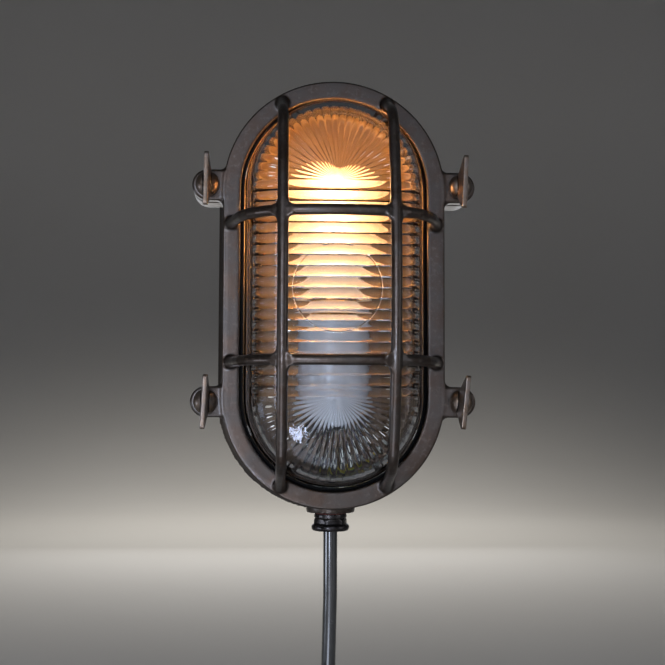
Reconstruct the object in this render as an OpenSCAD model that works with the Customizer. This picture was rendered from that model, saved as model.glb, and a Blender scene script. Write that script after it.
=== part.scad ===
// Oval bulkhead light: a cast back box for a wall, and a caged front frame that
// clamps a ribbed glass over a lamp that stands upright in a porcelain holder.
// X runs to the right, Z up, and the front faces -Y.
// The origin is the middle of the wall face, between the two round ends.

/* [Front frame] */
// Outer radius of the round ends
frame_r = 61.2; // [58:0.1:66]
// Distance between the centres of the round ends
end_spacing = 113.6; // [104:0.1:124]
// Width of the flat band round the glass
band_w = 9.8; // [9:0.1:11]
// Thickness of the band in front of the glass rim
band_t = 4; // [3:0.1:5.5]
// Wall of the skirt that hides the glass rim
skirt_t = 2.8; // [2.2:0.1:3.4]
// Rounding of the outer front edge
edge_round = 2.2; // [1:0.1:2.6]

/* [Back box] */
// Depth from the wall to the rim
box_d = 36.5; // [32:0.5:44]
// Thickness of the side wall at the rim
box_wall = 5.6; // [4.8:0.1:6.4]
// Thickness of the back plate
back_t = 4; // [3:0.1:6]
// How far the foot spreads beyond the rim at the wall
foot_flare = 4.6; // [1:0.1:6]
// Height of the flared foot
foot_h = 15; // [8:0.5:22]
// Rounding where the side wall meets the back plate
floor_round = 6; // [3:0.5:9]

/* [Lugs and thumbscrews] */
// Distance of each lug from the upright middle line
lug_x = 69.7; // [68:0.1:76]
// Distance of each lug from the level middle line
lug_z = 59.5; // [54:0.1:64]
// Width of a lug
lug_w = 17; // [15:0.1:20]
// Thickness of a lug on the front frame
lug_t = 8; // [6:0.1:9]
// Length of the lug column down the side of the box
lug_column = 18; // [16:0.5:26]
// Diameter of the thumbscrew thread
screw_d = 6; // [5:0.1:7]
// Length of thread that the box lug holds
thread_grip = 12; // [8:0.5:15]
// Diameter of the domed thumbscrew head
dome_d = 13; // [11:0.1:15]
// Height of the domed head
dome_h = 6.2; // [5:0.1:7.5]
// Length of the wing across the head
wing_len = 29; // [24:0.5:32]
// Height of the wing's front edge above its washer
wing_h = 18.5; // [15:0.5:22]
// Thickness of the wing
wing_t = 2.6; // [2:0.1:3.5]
// Thickness of the captive washer
washer_t = 1; // [0.8:0.1:1.6]

/* [Guard] */
// Diameter of the guard bars
bar_d = 5.9; // [5:0.1:7]
// Distance of each upright bar from the middle
upright_x = 28.9; // [25:0.1:32]
// Distance of each level bar from the middle
level_z = 38.1; // [34:0.1:43]
// Height of the upright bars above the frame
upright_rise = 50.5; // [49:0.5:58]
// Height of the level bars above the frame
level_rise = 50.5; // [49:0.5:59]
// Lean of the upright bars' legs
upright_lean = 20; // [14:0.5:24]
// Lean of the level bars' legs
level_lean = 12; // [6:0.5:16]
// Radius of the upright bars' corners
upright_corner = 20; // [14:0.5:26]
// Radius of the level bars' corners
level_corner = 38; // [28:0.5:42]
// Radius of the upright bars' crown
upright_crown = 260; // [180:5:400]
// Radius of the level bars' crown
level_crown = 140; // [100:5:220]
// Fillet radius where bars cross
cross_fillet = 3.2; // [2:0.1:4]
// Width of a bar's foot on the frame
foot_d = 7.2; // [6:0.1:9.4]

/* [Glass] */
// Thickness of the glass wall
glass_t = 4; // [3:0.1:4.6]
// Thickness of the glass rim
glass_rim_t = 3.5; // [3:0.1:4.5]
// Gap between the glass and the frame opening
glass_gap = 2.1; // [1.6:0.1:2.6]
// Height of the glass above its rim
glass_rise = 38.5; // [37:0.5:40]
// Lean of the glass wall
glass_lean = 8; // [7:0.5:14]
// Radius of the glass shoulder
glass_shoulder = 17; // [14:0.5:24]
// Radius of the glass crown
glass_crown = 260; // [180:5:400]
// Height of the prism ribs on the inside
rib_h = 1.3; // [0.6:0.1:1.8]
// Spacing of the level ribs
rib_pitch = 5.68; // [4.5:0.01:8]
// Number of ribs round each end
fan_ribs = 26; // [14:2:30]

/* [Gaskets] */
// Thickness of the gasket between box and glass
body_gasket_t = 3; // [2:0.1:3.6]
// How far that gasket stands proud of the box rim
gasket_proud = 1.5; // [1:0.1:1.8]
// Width of that gasket
body_gasket_w = 2.5; // [2:0.1:3]
// Thickness of the gasket between glass and frame
glass_gasket_t = 1; // [0.6:0.1:1.6]

/* [Lamp and lampholder] */
// Distance from the wall to the lamp's axis
lamp_d = 43; // [41:0.5:45]
// Diameter of the lamp's globe
globe_d = 60; // [50:0.5:61]
// Height of the globe's centre above the middle
globe_z = 40; // [34:0.5:44]
// Diameter of the lamp cap
cap_d = 26.4; // [25:0.1:27]
// Length of the lamp cap
cap_len = 25; // [22:0.5:27]
// Diameter of the porcelain holder
holder_d = 42; // [39:0.5:44]
// Height of the porcelain holder
holder_h = 57; // [54:0.5:60]
// Height of the holder's foot below the middle
holder_low = 73; // [70:0.5:76]
// Depth of the thread well in the holder
well_depth = 26; // [24:0.5:29]
// Wall of the brass thread sleeve
sleeve_t = 0.5; // [0.4:0.1:0.8]

/* [Bracket and terminals] */
// Width of the holder bracket
bracket_w = 30; // [26:0.5:34]
// Thickness of the bracket strip
bracket_t = 1.6; // [1.2:0.1:2.5]
// Height of the bracket's upright leg
bracket_leg = 26; // [22:0.5:32]
// Height of the bosses on the back plate
boss_h = 5; // [4:0.1:7]
// Distance of each holder screw from the lamp's axis
holder_screw_x = 12.5; // [11:0.5:14]
// Distance of each bracket screw from the middle
bracket_screw_x = 8; // [7:0.5:10]
// Spacing of the two terminal poles
pole_pitch = 11; // [10:0.5:13]
// Length of the terminal block along the wires
block_len = 16; // [14:0.5:18]
// Depth of the terminal block
block_t = 10; // [8:0.5:12]
// Distance of the terminal block below the middle
block_low = 94; // [93:0.5:95]
// Distance of the earth screw from the middle
earth_x = 27; // [24:0.5:30]
// Distance of the earth screw below the middle
earth_low = 90; // [86:0.5:92]

/* [Wall fixing] */
// Distance between the fixing holes across
fixing_x = 72; // [60:1:76]
// Distance between the fixing holes up and down
fixing_z = 144; // [130:1:150]
// Diameter of the fixing holes
fixing_d = 5.5; // [4.5:0.1:6.5]

/* [Gland and flex] */
// Distance from the wall to the cable entry
entry_d = 17; // [16:0.5:18]
// Diameter of the entry boss under the box
entry_boss_d = 27.6; // [24:0.1:30]
// Drop of the boss below the middle
entry_low = 121.6; // [119:0.1:126]
// Diameter of the gland thread
gland_thread_d = 16; // [15:0.1:18]
// Length of thread that reaches up through the boss
gland_thread_len = 12; // [10:0.5:15]
// Width of the gland nut across its flats
nut_flats = 19; // [18.5:0.1:24]
// Height of the gland nut
nut_h = 7; // [6:0.1:11]
// Height of the gland collar
collar_h = 2.4; // [1.8:0.1:4]
// Diameter of the flex
flex_d = 8; // [6.5:0.1:8.4]
// Diameter of each insulated core
core_d = 2.6; // [2:0.1:3]

/* [Hidden] */

// Fits: running on threads and pins, loose in plain holes, soft against hard, and how far the
// glass gasket stays clear of the side of the glass and back from the edge of its rim
fit = 0.05;
loose = 0.3;
soft_gap = 0.1;
gasket_inset = 0.5;
// Steps in an arc of a section, sides of a guard bar, and how far a bar's foot reaches up it
arc_steps = 6;
bar_sides = 16;
foot_reach = 9;
// How far a piece is sunk into the one that it is cast with
sink = 1;

// Depths from the wall, front to back
gasket_seat = box_d + gasket_proud - body_gasket_t;
rim_back = box_d + gasket_proud;
rim_front = rim_back + glass_rim_t;
band_back = rim_front + glass_gasket_t;
face_d = band_back + band_t;
skirt_back = box_d + 0.4;

// Radii round the end centres, outside to inside
open_r = frame_r - band_w;
skirt_in = frame_r - skirt_t;
glass_rim_r = skirt_in - 1;
glass_r = open_r - glass_gap;
rim_r = frame_r - 0.3;
cavity_r = rim_r - box_wall;
seat_r = cavity_r + body_gasket_w;
end_z = end_spacing / 2;

// Bore of a lug, and the depths that the thumbscrew reaches
lug_hole_r = screw_d / 2 + loose;
tap_r = screw_d / 2 + fit;
screw_end = box_d - thread_grip;
tap_end = screw_end - 3;
lug_face = face_d - 0.4;
head_d = lug_face + washer_t;
lug_round = 1.2;
lug_fillet = 4;
column_back = box_d - lug_column;

// How far each wing is turned from upright, in the photograph's state
turn_ul = -1;
turn_ur = -2.5;
turn_ll = -3;
turn_lr = -6;

// Lamp holder levels
holder_top = holder_h - holder_low;
well_floor = holder_top - well_depth;
cap_low = well_floor + 4;
sleeve_r = cap_d / 2 + 0.6;

// Bracket, its bosses and its screws
bracket_d = back_t + boss_h;
bracket_reach = lamp_d + holder_d / 2 - 2;
bracket_screw_z = bracket_leg / 2 + 4 - holder_low;
boss_r = 4.8;
m4_r = 2;
m4_head_r = 3.6;
m4_head_h = 2.6;
lead_x = 6;
lead_d = lamp_d - 12;
lead_hole_r = core_d / 2 + 0.6;

// Terminal block
pole_x = pole_pitch / 2;
pole_d = back_t + block_t * 0.6;
insert_r = 3;
insert_bore_r = 1.9;
tower_r = 3.5;
tower_h = 4;
terminal_screw_r = 1.5;
terminal_head_r = 2.3;
block_top = block_len / 2 - block_low;
block_foot = -block_len / 2 - block_low;

// Earth tag: its thickness, its barrel and how far the barrel is turned towards the entry
tag_t = 0.8;
barrel_r = core_d / 2 + 0.6;
barrel_len = 4.5;
barrel_start = 5;
tag_turn = -51.5;
function by_tag(s, above) = [earth_x + s * sin(tag_turn), back_t + boss_h + barrel_r + above,
    -earth_low - s * cos(tag_turn)];

// Gland levels, going down
gland_top = gland_thread_len - entry_low;
gland_washer_t = 0.8;
collar_top = -entry_low - gland_washer_t;
collar_foot = collar_top - collar_h;
nut_top = collar_foot - loose;
nut_foot = nut_top - nut_h;
gland_neck_r = gland_thread_d / 2 + 0.4;
seal_r = gland_neck_r - 1.8;
seal_top = collar_foot + 0.5;
seal_foot = nut_foot + 2;
neck_foot = nut_foot + 2.4;
flex_bore_r = flex_d / 2 + soft_gap;

// Route of the flex from the box to the coil, as X, depth from the wall and Z
flex_route = [
    [0, 17, -107], [0, 17, -112], [0, 17, -118], [0, 17, -124], [0, 17, -130],
    [0, 17, -136], [0, 17, -143], [0, 17, -151], [0, 17, -160], [0, 17, -169],
    [-0.2, 17, -178], [-0.4, 17, -187], [-0.6, 17, -196], [-0.8, 17, -205],
    [-0.9, 17, -214], [-1, 17, -223], [-1, 17, -232], [-1, 17, -241],
    [-1, 17, -250], [-1, 17, -260]];
// The coil: a neat stack of round turns beside the end of that route
coil_x = -41;
coil_z = -260;
coil_r = 40;
coil_back = 13;
coil_turns = 3.3;
coil_front = coil_back + flex_d * (coil_turns + 1);
tie_w = 9;
tie_t = 1.2;
// Routes of the stripped cores at the end of the coil
tail_live_route = [[-53.4, 45.1, -298], [-58.9, 45.2, -295.8], [-65.6, 46, -291.5],
    [-72, 47.2, -285.2], [-77, 48.5, -277.5], [-79.5, 49.5, -269]];
tail_neutral_route = [[-53.9, 42.5, -299.4], [-59.6, 42.5, -297.2], [-66.8, 42.6, -293],
    [-74, 43, -286.8], [-79.6, 43.6, -278.8], [-83, 44.4, -270]];
tail_earth_route = [[-52.9, 42.5, -296.6], [-58.2, 42.5, -294.4], [-64.6, 42.2, -290.2],
    [-70.8, 41.8, -284], [-74.6, 41.5, -276], [-76.2, 41.4, -267.4]];
// Routes of the wires inside the box, from where the sheath ends
sheath_z = flex_route[0][2] + soft_gap / 2;
core_live_route = [[-1.6, entry_d, sheath_z], [-1.6, entry_d, sheath_z + 0.7],
    [-1.7, entry_d - 0.1, sheath_z + 1.4],
    [-4, pole_d + 4, sheath_z + 3], [-pole_x, pole_d + 0.6, block_foot - 0.5],
    [-pole_x, pole_d, block_foot + 4]];
core_neutral_route = [for (p = core_live_route) [-p[0], p[1], p[2]]];
core_earth_route = [[0, entry_d + 2.4, sheath_z], [0, entry_d + 2.4, sheath_z + 0.8],
    [0.2, entry_d + 2.5, sheath_z + 1.6], [2.4, entry_d + 2.7, sheath_z + 3.6],
    [8, entry_d + 2, sheath_z + 5.5], [14.2, entry_d - 1, sheath_z + 6.4],
    by_tag(13.2, 1.1), by_tag(barrel_start + barrel_len + 0.8, 0), by_tag(barrel_start + 3, 0),
    by_tag(barrel_start + 1, 0)];
lamp_live_route = [[-pole_x, pole_d, block_top - 4], [-pole_x, pole_d + 0.4, block_top + 1],
    [-pole_x - 0.2, pole_d + 4, block_top + 4.5], [-lead_x, pole_d + 14, block_top + 5.5],
    [-lead_x, lead_d - 1.5, -holder_low - 5.5], [-lead_x, lead_d, -holder_low - 1],
    [-lead_x, lead_d, 11 - holder_low]];
lamp_neutral_route = [for (p = lamp_live_route) [-p[0], p[1], p[2]]];

$fn = 96;

// Turns a piece drawn as seen from the front, with its depth upwards, onto the wall
module on_wall() {
    rotate([90, 0, 0]) children();
}

// A section of radius and depth, swept round the oval
module oval() {
    for (side = [0, 1])
        rotate([0, 0, 180 * side])
            translate([0, end_z, 0])
                rotate_extrude(angle = 180)
                    children();
    for (side = [0, 1])
        mirror([side, 0, 0])
            translate([0, end_z, 0])
                rotate([90, 0, 0])
                    linear_extrude(end_spacing)
                        children();
}

// Copies a piece drawn for the upper right lug to all four
module at_lugs() {
    for (sx = [-1, 1])
        for (sz = [-1, 1])
            translate([sx * lug_x, sz * lug_z, 0])
                scale_sign(sx, sz)
                    children();
}

// Mirrors a piece into a quarter of the face
module scale_sign(sx, sz) {
    mirror([sx > 0 ? 0 : 1, 0, 0])
        mirror([0, sz > 0 ? 0 : 1, 0])
            children();
}

// Points on an arc, from one angle to the other
function arc(centre, r, from, to, n) =
    [for (i = [0 : n]) centre + r * [cos(from + (to - from) * i / n), sin(from + (to - from) * i / n)]];

// An arch is a leg that leans inwards, a corner and a shallow crown, each tangent to the next.
// These give the corner's centre, the crown's centre and the angle at which they meet.
function leg_dir(lean) = [-sin(lean), cos(lean)];
function leg_side(lean) = [cos(lean), sin(lean)];
function crown_centre(crown, rise) = [0, rise - crown];
function leg_run(foot, lean, corner, crown, rise) =
    let (q = [foot, 0] - corner * leg_side(lean) - crown_centre(crown, rise))
    let (b = q * leg_dir(lean))
    sqrt(b * b - q * q + (crown - corner) * (crown - corner)) - b;
function corner_centre(foot, lean, corner, crown, rise) =
    [foot, 0] - corner * leg_side(lean) + leg_run(foot, lean, corner, crown, rise) * leg_dir(lean);
function meet_angle(foot, lean, corner, crown, rise) =
    let (p = corner_centre(foot, lean, corner, crown, rise) - crown_centre(crown, rise))
    atan2(p[1], p[0]);

// A smooth curve through hand-placed points, with a few steps between each pair
function between(a, b, c, d, t) =
    0.5 * ((2 * b) + (c - a) * t + (2 * a - 5 * b + 4 * c - d) * t * t
    + (3 * b - a - 3 * c + d) * t * t * t);
function smooth_path(p, steps) =
    let (last = len(p) - 1)
    [for (i = [0 : last - 1])
        for (s = [0 : steps - 1])
            between(p[max(i - 1, 0)], p[i], p[i + 1], p[min(i + 2, last)], s / steps),
    p[last]];
function unit(v) = v / norm(v);

// A round cable along a path of X, depth and Z, closed at both ends. Its sides are counted from
// a direction that the path never runs along.
module cable(route, d, steps, sides, across = [1, 0.2, 0.1]) {
    path = [for (p = smooth_path(route, steps)) [p[0], -p[1], p[2]]];
    last = len(path) - 1;
    points = [for (i = [0 : last])
        let (t = unit(path[min(i + 1, last)] - path[max(i - 1, 0)]))
        let (u = unit(cross(t, across)))
        let (v = cross(t, u))
        for (k = [0 : sides - 1])
            path[i] + d / 2 * (u * cos(360 * k / sides) + v * sin(360 * k / sides))];
    sleeve = [for (i = [0 : last - 1])
        for (k = [0 : sides - 1])
            [i * sides + k, (i + 1) * sides + k,
            (i + 1) * sides + (k + 1) % sides, i * sides + (k + 1) % sides]];
    start = [for (k = [0 : sides - 1]) k];
    finish = [for (k = [0 : sides - 1]) last * sides + sides - 1 - k];
    polyhedron(points, concat(sleeve, [start, finish]), convexity = 6);
}

// The flared side wall, from the wall face to the rim
function box_side(n) =
    [for (i = [0 : n])
        let (h = foot_h * i / n)
        [rim_r + foot_flare * pow(1 - h / foot_h, 2), h]];

// Section of the box: back plate, side wall and the step that holds the gasket
module box_section() {
    polygon(concat(
        [[0, 0]],
        box_side(arc_steps),
        [[rim_r, box_d], [seat_r, box_d], [seat_r, gasket_seat], [cavity_r, gasket_seat]],
        arc([cavity_r - floor_round, back_t + floor_round], floor_round, 0, -90, arc_steps),
        [[0, back_t]]));
}

// Column down the side of the box under one lug, with its webs to the wall
module lug_column_solid() {
    translate([0, 0, column_back])
        cylinder(h = lug_column, d = lug_w);
    translate([0, 0, column_back - lug_w / 2])
        cylinder(h = lug_w / 2, d1 = lug_w * 0.3, d2 = lug_w);
    translate([seat_r + sink - lug_x, -lug_w / 2, column_back])
        cube([lug_x - seat_r - sink, lug_w, lug_column]);
}

module back_box() {
    color([0.36, 0.34, 0.33])
        on_wall()
            difference() {
                union() {
                    oval() box_section();
                    at_lugs() lug_column_solid();
                    bracket_bosses();
                    translate([earth_x, -earth_low, back_t - sink])
                        cylinder(h = boss_h + sink, r = boss_r);
                    entry_boss();
                }
                box_bores();
            }
}

// Bosses that the bracket stands on
module bracket_bosses() {
    for (sx = [-1, 1])
        translate([sx * bracket_screw_x, bracket_screw_z, back_t - sink])
            cylinder(h = boss_h + sink, r = boss_r);
}

// Boss under the box for the cable entry, with a pad inside the end wall
module entry_boss() {
    translate([0, -entry_low, entry_d])
        rotate([-90, 0, 0]) {
            cylinder(h = entry_low - end_z - cavity_r - sink, d = entry_boss_d);
        }
}

// Every hole of the box: tapped lugs, fixings, screws and the cable entry
module box_bores() {
    at_lugs()
        translate([0, 0, tap_end])
            cylinder(h = box_d, r = tap_r);
    for (sx = [-1, 1])
        for (sz = [-1, 1])
            translate([sx * fixing_x / 2, sz * fixing_z / 2, -sink])
                cylinder(h = back_t + 2 * sink, d = fixing_d);
    for (sx = [-1, 1])
        translate([sx * bracket_screw_x, bracket_screw_z, back_t - 1.5])
            cylinder(h = boss_h + 2 * sink, r = m4_r + fit);
    translate([earth_x, -earth_low, back_t - 1.5])
        cylinder(h = boss_h + 2 * sink, r = m4_r + fit);
    translate([0, -block_low, back_t - 2.5])
        cylinder(h = back_t, r = terminal_screw_r + fit);
    translate([0, -entry_low - sink, entry_d])
        rotate([-90, 0, 0])
            cylinder(h = entry_low - end_z - cavity_r + 8, d = gland_thread_d + 2 * fit);
}

module body_gasket() {
    color([0.12, 0.12, 0.12])
        on_wall()
            oval()
                translate([seat_r - soft_gap - body_gasket_w, gasket_seat])
                    square([body_gasket_w, body_gasket_t]);
}

// Section of the front frame: rounded band in front, skirt behind
module frame_section() {
    polygon(concat(
        [[open_r, band_back], [skirt_in, band_back], [skirt_in, skirt_back], [frame_r, skirt_back]],
        arc([frame_r - edge_round, face_d - edge_round], edge_round, 0, 90, arc_steps),
        arc([open_r + 1, face_d - 1], 1, 90, 180, 3)));
}

// Flat ear with rounded edges, reaching back into the band
module frame_lug() {
    translate([0, 0, lug_face - lug_t])
        rotate_extrude()
            lug_rim();
    translate([skirt_in + sink - lug_x, 0, lug_face - lug_t])
        rotate([90, 0, 90])
            linear_extrude(lug_x - skirt_in - sink)
                for (side = [0, 1])
                    mirror([side, 0])
                        lug_rim();
    lug_corner(1);
    lug_corner(-1);
}

// Half of a lug's section, rounded in front
module lug_rim() {
    polygon(concat(
        [[0, 0], [lug_w / 2, 0]],
        arc([lug_w / 2 - lug_round, lug_t - lug_round], lug_round, 0, 90, 3),
        [[0, lug_t]]));
}

// Hollow corner between a lug's side and the rim of the frame
module lug_corner(side) {
    level = lug_z + side * (lug_w / 2 + lug_fillet);
    past_end = max(level - end_z, 0);
    reach = sqrt(pow(frame_r + lug_fillet, 2) - past_end * past_end);
    rim = [reach, past_end] * frame_r / (frame_r + lug_fillet);
    overlap = 0.15;
    translate([0, 0, lug_face - lug_t + 0.2])
        linear_extrude(lug_t - lug_round)
            difference() {
                polygon([
                    [reach - lug_x, side * (lug_w / 2 - sink)],
                    [reach - lug_x, side * (lug_w / 2 + overlap)],
                    [rim[0] - overlap - lug_x, level - lug_z + (rim[1] - past_end)],
                    [rim[0] - sink - lug_x, side * (lug_w / 2 - sink)]]);
                translate([reach - lug_x, level - lug_z])
                    circle(lug_fillet + overlap / 2);
            }
}

// Middle line of half an arch, from its foot to the top, as places with their directions
function half_arch(foot, lean, corner, crown, rise) =
    let (run = leg_run(foot, lean, corner, crown, rise))
    let (meet = meet_angle(foot, lean, corner, crown, rise))
    concat(
        [for (s = [-sink, 0.2, 1.5, 3.5, 6, foot_reach]) [[foot, 0] + s * leg_dir(lean), lean]],
        [for (i = [0 : arc_steps])
            let (a = lean + (meet - lean) * i / arc_steps)
            [corner_centre(foot, lean, corner, crown, rise) + corner * leg_side(a), a]],
        [for (i = [1 : 4])
            let (a = meet + (90 - meet) * i / 4)
            [crown_centre(crown, rise) + crown * leg_side(a), a]]);

// One guard bar standing on the frame, in the plane of its arch, thicker at its feet
module guard_arch(foot, lean, corner, crown, rise) {
    half = half_arch(foot, lean, corner, crown, rise);
    last = 2 * len(half) - 2;
    line = [for (i = [0 : last])
        i < len(half) ? half[i] : [[-half[last - i][0][0], half[last - i][0][1]], 180 - half[last - i][1]]];
    function spread(i) =
        let (s = min(i, last - i))
        s > 5 ? 0 : (foot_d - bar_d) / 2 * pow(1 - max(s - 1, 0) / 5, 2);
    points = [for (i = [0 : last])
        for (k = [0 : bar_sides - 1])
            let (a = 360 * (k + 0.5) / bar_sides)
            let (r = bar_d / 2 + spread(i))
            [line[i][0][0] + r * cos(a) * cos(line[i][1]),
            line[i][0][1] + r * cos(a) * sin(line[i][1]), r * sin(a)]];
    sleeve = [for (i = [0 : last - 1])
        for (k = [0 : bar_sides - 1])
            let (a = i * bar_sides)
            let (n = (k + 1) % bar_sides)
            [a + k, a + n, a + bar_sides + n, a + bar_sides + k]];
    start = [for (k = [bar_sides - 1 : -1 : 0]) k];
    finish = [for (k = [0 : bar_sides - 1]) last * bar_sides + k];
    polyhedron(points, concat(sleeve, [start, finish]), convexity = 6);
}

// Places the feet of the bars in the middle of the band
upright_foot = end_z + (sqrt(frame_r * frame_r - upright_x * upright_x)
    + sqrt(open_r * open_r - upright_x * upright_x)) / 2;
level_foot = (frame_r + open_r) / 2;

// Fillet web in the plane of two crossing bars
module cross_web() {
    half = bar_d / 2 + cross_fillet;
    tilt_x = asin((upright_x - corner_centre(level_foot, level_lean, level_corner, level_crown,
        level_rise)[0]) / level_corner);
    tilt_z = asin(level_z / upright_crown);
    height = sqrt(upright_crown * upright_crown - level_z * level_z) + upright_rise - upright_crown;
    translate([upright_x, level_z, face_d + height])
        rotate([-tilt_z, tilt_x, 0])
            linear_extrude(bar_d / 2, center = true)
                difference() {
                    square(2 * half - 0.4, center = true);
                    for (sx = [-1, 1])
                        for (sz = [-1, 1])
                            translate([sx * half, sz * half])
                                circle(cross_fillet + 0.15, $fn = 32);
                }
}

// The cage: two upright and two level bars with filleted crossings
module guard() {
    for (sx = [-1, 1])
        translate([sx * upright_x, 0, face_d])
            rotate([90, 0, 90])
                guard_arch(upright_foot, upright_lean, upright_corner, upright_crown, upright_rise);
    for (sz = [-1, 1])
        translate([0, sz * level_z, face_d])
            rotate([90, 0, 0])
                guard_arch(level_foot, level_lean, level_corner, level_crown, level_rise);
    for (sx = [-1, 1])
        for (sz = [-1, 1])
            scale_sign(sx, sz)
                cross_web();
}

module front_frame() {
    color([0.42, 0.4, 0.39])
        on_wall()
            difference() {
                union() {
                    oval() frame_section();
                    at_lugs() frame_lug();
                    guard();
                }
                at_lugs()
                    translate([0, 0, lug_face - lug_t - sink])
                        cylinder(h = lug_t + 2 * sink, r = lug_hole_r);
            }
}

module glass_gasket() {
    color([0.12, 0.12, 0.12])
        on_wall()
            oval()
                translate([glass_r + gasket_inset, rim_front])
                    square([glass_rim_r - glass_r - 2 * gasket_inset, glass_gasket_t]);
}

// Counts for the prism ribs: two spokes to a rib, an even number along each side
side_spokes = 2 * round(end_spacing / rib_pitch);
fan_spokes = 2 * fan_ribs;

// Spokes round the oval, each with its root on the middle line, its angle and its place on that line
spokes = concat(
    [for (k = [0 : side_spokes - 1]) [k, 0]],
    [for (j = [0 : fan_spokes - 1]) [side_spokes, 180 * j / fan_spokes]],
    [for (k = [0 : side_spokes - 1]) [side_spokes - k, 180]],
    [for (j = [0 : fan_spokes - 1]) [0, 180 + 180 * j / fan_spokes]]);

// Section of the glass along a spoke, from the outer crown round the rim to the inner crown
corner_steps = 4;
glass_meet = meet_angle(glass_r, glass_lean, glass_shoulder, glass_crown, glass_rise);
glass_corner = corner_centre(glass_r, glass_lean, glass_shoulder, glass_crown, glass_rise);
crown_angles = [for (f = [0.35, 0.7]) 90 + (glass_meet - 90) * f];
function on_crown(angle, in) =
    crown_centre(glass_crown, glass_rise) + (glass_crown - in) * [cos(angle), sin(angle)];
function on_corner(i, in) =
    let (a = glass_meet + (glass_lean - glass_meet) * i / corner_steps)
    glass_corner + (glass_shoulder - in) * [cos(a), sin(a)];
function glass_section(rib) = concat(
    [for (a = crown_angles) on_crown(a, 0)],
    [for (i = [0 : corner_steps]) on_corner(i, 0)],
    [[glass_r, 0], [glass_rim_r, 0], [glass_rim_r, -glass_rim_t], [glass_r - glass_t, -glass_rim_t]],
    [[glass_r - glass_t, 0]],
    [for (i = [corner_steps : -1 : 0]) on_corner(i, glass_t + rib * (i == corner_steps ? 0.5 : 1))],
    [on_crown(crown_angles[1], glass_t + rib)],
    [on_crown(crown_angles[0], glass_t + rib * 0.6)]);

// One closed shell: rows of section points on every spoke, and a row of points on the middle line
module glass() {
    count = len(spokes);
    rows = len(glass_section(0));
    lines = side_spokes + 1;
    outer = count * rows;
    inner = outer + lines;
    ribbed = [for (s = [0 : count - 1]) rib_h * (s % 2)];
    points = concat(
        [for (s = [0 : count - 1])
            let (root = [0, end_spacing * (spokes[s][0] / side_spokes - 0.5)])
            for (p = glass_section(ribbed[s]))
                [root[0] + p[0] * cos(spokes[s][1]), root[1] + p[0] * sin(spokes[s][1]),
                rim_front + p[1]]],
        [for (k = [0 : side_spokes])
            [0, end_spacing * (k / side_spokes - 0.5), rim_front + glass_rise]],
        [for (k = [0 : side_spokes])
            [0, end_spacing * (k / side_spokes - 0.5), rim_front + glass_rise - glass_t - rib_h * (k % 2)]]);
    faces = [for (s = [0 : count - 1])
        let (n = (s + 1) % count)
        let (a = spokes[s][0])
        let (b = spokes[n][0])
        each concat(
            [[outer + a, s * rows, n * rows]],
            a == b ? [] : [[outer + a, n * rows, outer + b]],
            [for (r = [0 : rows - 2])
                each [[s * rows + r, s * rows + r + 1, n * rows + r + 1],
                    [s * rows + r, n * rows + r + 1, n * rows + r]]],
            [[s * rows + rows - 1, inner + a, n * rows + rows - 1]],
            a == b ? [] : [[inner + a, inner + b, n * rows + rows - 1]])];
    color([0.8, 0.88, 0.9, 0.6])
        on_wall()
            polyhedron(points, faces, convexity = 8);
}

// Domed head, wing plate and threaded shank of one thumbscrew
module thumbscrew(sx, sz, turn) {
    color([0.55, 0.5, 0.42])
        on_wall()
            translate([sx * lug_x, sz * lug_z, head_d])
                rotate([0, 0, turn]) {
                    rotate_extrude()
                        polygon(concat(
                            [[0, 0], [dome_d / 2, 0]],
                            [for (i = [0 : 8]) [dome_d / 2 * cos(90 * i / 8),
                                1 + (dome_h - 1) * sin(90 * i / 8)]]));
                    translate([0, 0, screw_end - head_d])
                        cylinder(h = 1, d1 = screw_d - 1.6, d2 = screw_d);
                    translate([0, 0, screw_end + 1 - head_d])
                        cylinder(h = head_d - screw_end, d = screw_d);
                    wing();
                }
}

// Wing plate: a straight front edge, round tips and edges that slope back to the dome
module wing() {
    tip = 1.7;
    root = dome_d / 2 - 1;
    slope = atan2(wing_h - tip - 2, wing_len / 2 - root);
    rotate([90, 0, 90])
        linear_extrude(wing_t, center = true)
            polygon(concat(
                [[-root, 2], [root, 2]],
                arc([wing_len / 2 - tip, wing_h - tip], tip, slope - 90, 90, 6),
                arc([tip - wing_len / 2, wing_h - tip], tip, 90, 270 - slope, 6)));
}

module captive_washer(sx, sz) {
    color([0.6, 0.58, 0.52])
        on_wall()
            translate([sx * lug_x, sz * lug_z, lug_face])
                difference() {
                    cylinder(h = washer_t, d = dome_d - 0.6);
                    translate([0, 0, -sink])
                        cylinder(h = washer_t + 2 * sink, r = screw_d / 2 + 0.08);
                }
}

// Porcelain body with its thread well, a step for the contact and holes for screws and wires
module lampholder_body() {
    r = holder_d / 2;
    color([0.9, 0.9, 0.88])
        translate([0, -lamp_d, -holder_low])
            difference() {
                rotate_extrude()
                    polygon(concat(
                        [[0, 0], [r - 1, 0], [r, 1], [r, holder_h * 0.3]],
                        [[r - 1.5, holder_h * 0.3 + 1.5], [r - 1.5, holder_h - 7]],
                        arc([r - 1.8, holder_h - 2], 2, -60, 90, 6),
                        [[sleeve_r + sleeve_t + soft_gap, holder_h]],
                        [[sleeve_r + sleeve_t + soft_gap, holder_h - well_depth]],
                        [[0, holder_h - well_depth]]));
                for (side = [-1, 1]) {
                    translate([side * holder_screw_x, 0, -sink])
                        cylinder(h = 9 + sink, r = m4_r + fit);
                    translate([side * lead_x, lamp_d - lead_d, -sink])
                        cylinder(h = 14 + sink, r = lead_hole_r);
                }
            }
}

// Brass sleeve that takes the lamp's cap
module lampholder_sleeve() {
    color([0.75, 0.62, 0.32])
        translate([0, -lamp_d, well_floor])
            difference() {
                cylinder(h = well_depth - 3, r = sleeve_r + sleeve_t);
                translate([0, 0, -sink])
                    cylinder(h = well_depth, r = sleeve_r);
            }
}

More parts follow.
